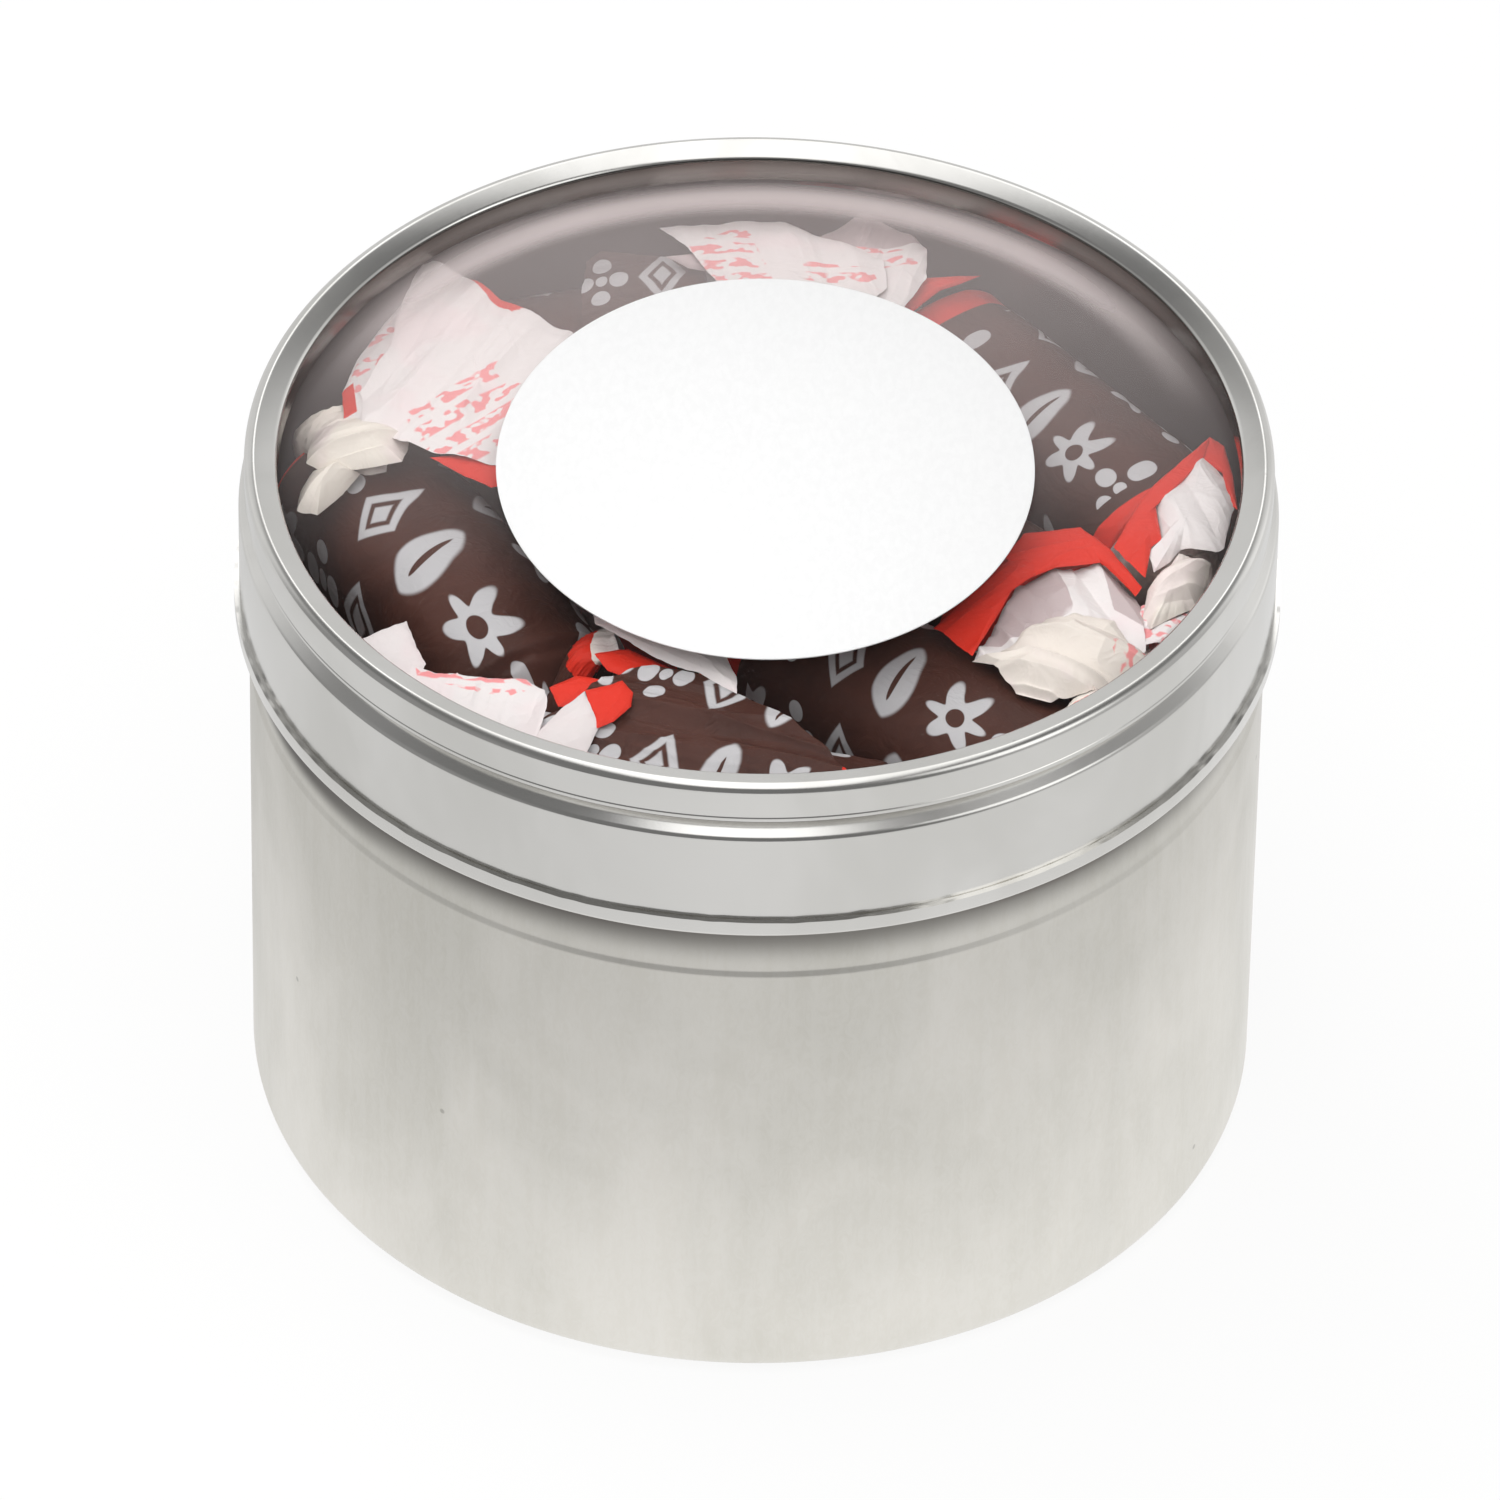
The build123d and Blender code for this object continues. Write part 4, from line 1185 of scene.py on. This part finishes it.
class TIN_OT_body(bpy.types.Operator):
    """Builds the drawn tin"""
    bl_idname = "window_tin.body"
    bl_label = "Tin Body"

    def execute(self, context):
        settings = context.scene.window_tin_body
        obj = turned("tin_shell", body_section(settings), settings.segments, body_stray(settings))
        finishes = context.scene.window_tin_finishes
        material = tinplate_material("body tinplate", finishes.body, finishes.body_dull, grain=1.0, specks=0.35,
                                     gloss=0.28, shades=body_shades(settings, finishes))
        finish_piece(obj, material, "tin", "tinplate_body", "tin_body")
        return {"FINISHED"}


class TIN_OT_lid(bpy.types.Operator):
    """Builds the stepped lid"""
    bl_idname = "window_tin.lid"
    bl_label = "Lid"

    def execute(self, context):
        tin, lid = context.scene.window_tin_body, context.scene.window_tin_lid
        section = lid_section(lid, tin)
        obj = turned("lid_shell", np.vstack([section, section[:1]]), lid.segments, lid_stray(lid, tin))
        finishes = context.scene.window_tin_finishes
        material = tinplate_material("lid tinplate", finishes.lid, finishes.lid_dull, grain=0.6, specks=0.6,
                                     gloss=0.12, shades=lid_shades(lid, tin, finishes))
        finish_piece(obj, material, "lid", "tinplate_lid", "lid_ring")
        return {"FINISHED"}


class TIN_OT_window(bpy.types.Operator):
    """Builds the clear window and its blank label"""
    bl_idname = "window_tin.window"
    bl_label = "Window and Label"

    def execute(self, context):
        finishes = context.scene.window_tin_finishes
        low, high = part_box("window_pane")
        edge = 0.1 * MM
        section = rounded([(0, low.z), (high.x, low.z, edge), (high.x, high.z, edge), (0, high.z)])
        pane = turned("window_sheet", section, 192)
        finish_piece(pane, window_material(finishes), "lid", "clear_window", "window_pane")
        low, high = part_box("oval_label")
        thick = high.z - low.z
        share = thick / high.x
        section = rounded([(0, low.z), (1, low.z), (1, high.z - thick / 2), (1 - share, high.z), (0, high.z)])
        stuck_right = 0.45 * MM
        label = turned("label_oval", section, 192, None, across=high.x, along=(high.y - low.y) / 2,
                       centre=(stuck_right, (high.y + low.y) / 2))
        finish_piece(label, label_material(finishes), "lid", "label_paper", "oval_label")
        return {"FINISHED"}


class TIN_OT_candies(bpy.types.Operator):
    """Builds the wrapped candies"""
    bl_idname = "window_tin.candies"
    bl_label = "Candies"

    def execute(self, context):
        finishes, candy = context.scene.window_tin_finishes, context.scene.window_tin_candy
        paper, toffee = wrapper_material(finishes), toffee_material(finishes)
        numbers = sorted(int(name[-2:]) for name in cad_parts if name.startswith("candy_wrapper"))
        for number in numbers:
            build_candy(number, candy, paper)
            build_roll(number, toffee)
        for name in SHEETS:
            build_sheet(name, paper)
        return {"FINISHED"}


class TIN_OT_stage(bpy.types.Operator):
    """Builds the floor, the lights and the camera"""
    bl_idname = "window_tin.stage"
    bl_label = "Stage"

    def execute(self, context):
        settings = context.scene.window_tin_stage
        make_floor()
        make_world(context.scene)
        make_lamps()
        place_camera(context.scene, settings)
        context.scene.view_settings.view_transform = "Standard"
        return {"FINISHED"}


# Stage

def make_floor():
    """White floor that looks white to the camera, keeps the shadow, and fades away from the tin in reflections."""
    size = 1.6
    corners = np.array([(-size, -size, 0), (size, -size, 0), (size, size, 0), (-size, size, 0)])
    mesh = bpy.data.meshes.new("floor")
    mesh.from_pydata((corners - (0, 0, 0.05 * MM)).tolist(), [], [(0, 1, 2, 3)])
    floor = bpy.data.objects.new("floor", mesh)
    bpy.context.scene.collection.objects.link(floor)
    material = bpy.data.materials.new("white floor")
    material.use_nodes = True
    nodes = Tree(material.node_tree)
    material.node_tree.nodes.remove(material.node_tree.nodes["Principled BSDF"])
    output = material.node_tree.nodes["Material Output"]
    place = nodes.place()
    mirrored = nodes.step(nodes.size(place), 38 * MM, 90 * MM, 1.0, 0.72)
    mirrored = nodes.times(mirrored, nodes.step(nodes.parts(place)[0], -60 * MM, 20 * MM, 0.93, 1.02))
    rays = nodes.add("ShaderNodeLightPath").outputs
    plain = nodes.add("ShaderNodeBsdfDiffuse", (0.88, 0.88, 0.87, 1.0)).outputs[0]
    strength = nodes.blend(rays["Is Glossy Ray"], (1, 1, 1), mirrored)
    bright = nodes.add("ShaderNodeEmission", (1.0, 1.0, 1.0, 1.0), strength).outputs[0]
    seen = nodes.times(nodes.math("MAXIMUM", rays["Is Camera Ray"], rays["Is Transmission Ray"]), 0.88)
    seen = nodes.math("MAXIMUM", seen, rays["Is Glossy Ray"])
    mixed = nodes.add("ShaderNodeMixShader", seen, plain, bright).outputs[0]
    nodes.feed(output.inputs[0], mixed)
    mesh.materials.append(material)


def make_world(scene):
    """White surround: plain for light, white to the camera; in reflections a pale backdrop, a light strip overhead,
    a lamp at the right and a dark room."""
    world = bpy.data.worlds.new("studio")
    scene.world = world
    world.use_nodes = True
    nodes = Tree(world.node_tree)
    background = world.node_tree.nodes["Background"]
    direction = nodes.add("ShaderNodeTexCoord").outputs["Generated"]
    x, y, z = nodes.parts(direction)
    backdrop = nodes.times(nodes.step(z, 0.52, 0.76, 0.48, 0.0), nodes.step(y, 0.2, 0.6))
    narrow = nodes.math("DIVIDE", nodes.math("ABSOLUTE", x), nodes.math("POWER", z, 2.2))
    strip = nodes.times(nodes.step(narrow, 0.13, 0.42, 1.15, 0.0), nodes.step(y, -0.66, -0.40))
    strip = nodes.times(strip, nodes.step(z, 0.52, 0.66))
    lamp = nodes.add("ShaderNodeVectorMath", direction, (0.67, -0.37, 0.65), operation="DOT_PRODUCT").outputs["Value"]
    lamp = nodes.step(lamp, 0.93, 0.985, 0.0, 1.0)
    sides = nodes.math("ADD", nodes.step(x, 0.55, 0.85, 0.0, 0.28), nodes.step(x, -0.80, -0.55, 0.10, 0.0))
    mirrored = 0.17
    for part in (backdrop, strip, lamp, sides):
        mirrored = nodes.math("ADD", part, mirrored)
    rays = nodes.add("ShaderNodeLightPath").outputs
    plain = 0.55
    strength = nodes.math("MULTIPLY_ADD", rays["Is Glossy Ray"], nodes.math("SUBTRACT", mirrored, plain), plain)
    seen = nodes.math("MAXIMUM", rays["Is Camera Ray"], rays["Is Transmission Ray"])
    strength = nodes.math("MAXIMUM", strength, seen)
    nodes.feed(background.inputs["Strength"], strength)
    background.inputs["Color"].default_value = (1, 1, 1, 1)


def make_lamps():
    """Soft boxes: one high at the back left, one overhead and a weak one from the front."""
    for name, place, size, power in (
        ("back left box", (-0.40, 0.30, 0.80), 0.7, 3.0),
        ("overhead box", (0.10, -0.25, 0.85), 0.8, 3.6),
        ("front box", (-0.20, -0.75, 0.70), 0.6, 1.6),
    ):
        lamp = bpy.data.lights.new(name, "AREA")
        lamp.size = size
        lamp.energy = power
        obj = bpy.data.objects.new(name, lamp)
        obj.location = place
        obj.rotation_euler = (Vector((0, 0, 0.04)) - Vector(place)).to_track_quat("-Z", "Y").to_euler()
        obj.visible_glossy = False
        bpy.context.scene.collection.objects.link(obj)


def place_camera(scene, settings):
    """Camera on the front side, looking down at the tin's axis."""
    data = bpy.data.cameras.new("camera")
    data.sensor_width = 36
    data.lens = settings.focal
    data.shift_x, data.shift_y = settings.shift
    data.clip_start, data.clip_end = 0.05, 20
    camera = bpy.data.objects.new("camera", data)
    back = Vector((0, -math.cos(settings.elevation), math.sin(settings.elevation)))
    look = (-back).to_track_quat("-Z", "Y").to_matrix().to_4x4()
    camera.matrix_world = (Matrix.Translation(Vector((0, 0, settings.target)) + settings.distance * back)
                           @ look @ Matrix.Rotation(settings.roll, 4, "Z"))
    scene.collection.objects.link(camera)
    scene.camera = camera


class TIN_PT_panel(bpy.types.Panel):
    """Lists the steps in the sidebar"""
    bl_idname = "TIN_PT_panel"
    bl_label = "Window Tin"
    bl_space_type = "VIEW_3D"
    bl_region_type = "UI"
    bl_category = "Window Tin"

    def draw(self, context):
        for step in STEPS:
            self.layout.operator(step.bl_idname)


STEPS = (TIN_OT_stage, TIN_OT_body, TIN_OT_lid, TIN_OT_window, TIN_OT_candies)
SETTINGS = {
    "window_tin_body": TinSizes,
    "window_tin_lid": LidSizes,
    "window_tin_candy": CandySizes,
    "window_tin_finishes": Finishes,
    "window_tin_stage": StageSettings,
}


def register():
    """Registers the settings, the steps and the panel."""
    for name, kind in SETTINGS.items():
        bpy.utils.register_class(kind)
        setattr(bpy.types.Scene, name, PointerProperty(type=kind))
    for kind in (*STEPS, TIN_PT_panel):
        bpy.utils.register_class(kind)


def unregister():
    """Takes them out again."""
    for kind in (TIN_PT_panel, *reversed(STEPS)):
        bpy.utils.unregister_class(kind)
    for name, kind in SETTINGS.items():
        delattr(bpy.types.Scene, name)
        bpy.utils.unregister_class(kind)


def main():
    """Runs every step."""
    register()
    for make in (make_brushing_group, make_crinkle_group, make_motif_group):
        make()
    for step in (bpy.ops.window_tin.stage, bpy.ops.window_tin.body, bpy.ops.window_tin.lid,
                 bpy.ops.window_tin.window, bpy.ops.window_tin.candies):
        step()


if __name__ == "__main__":
    main()
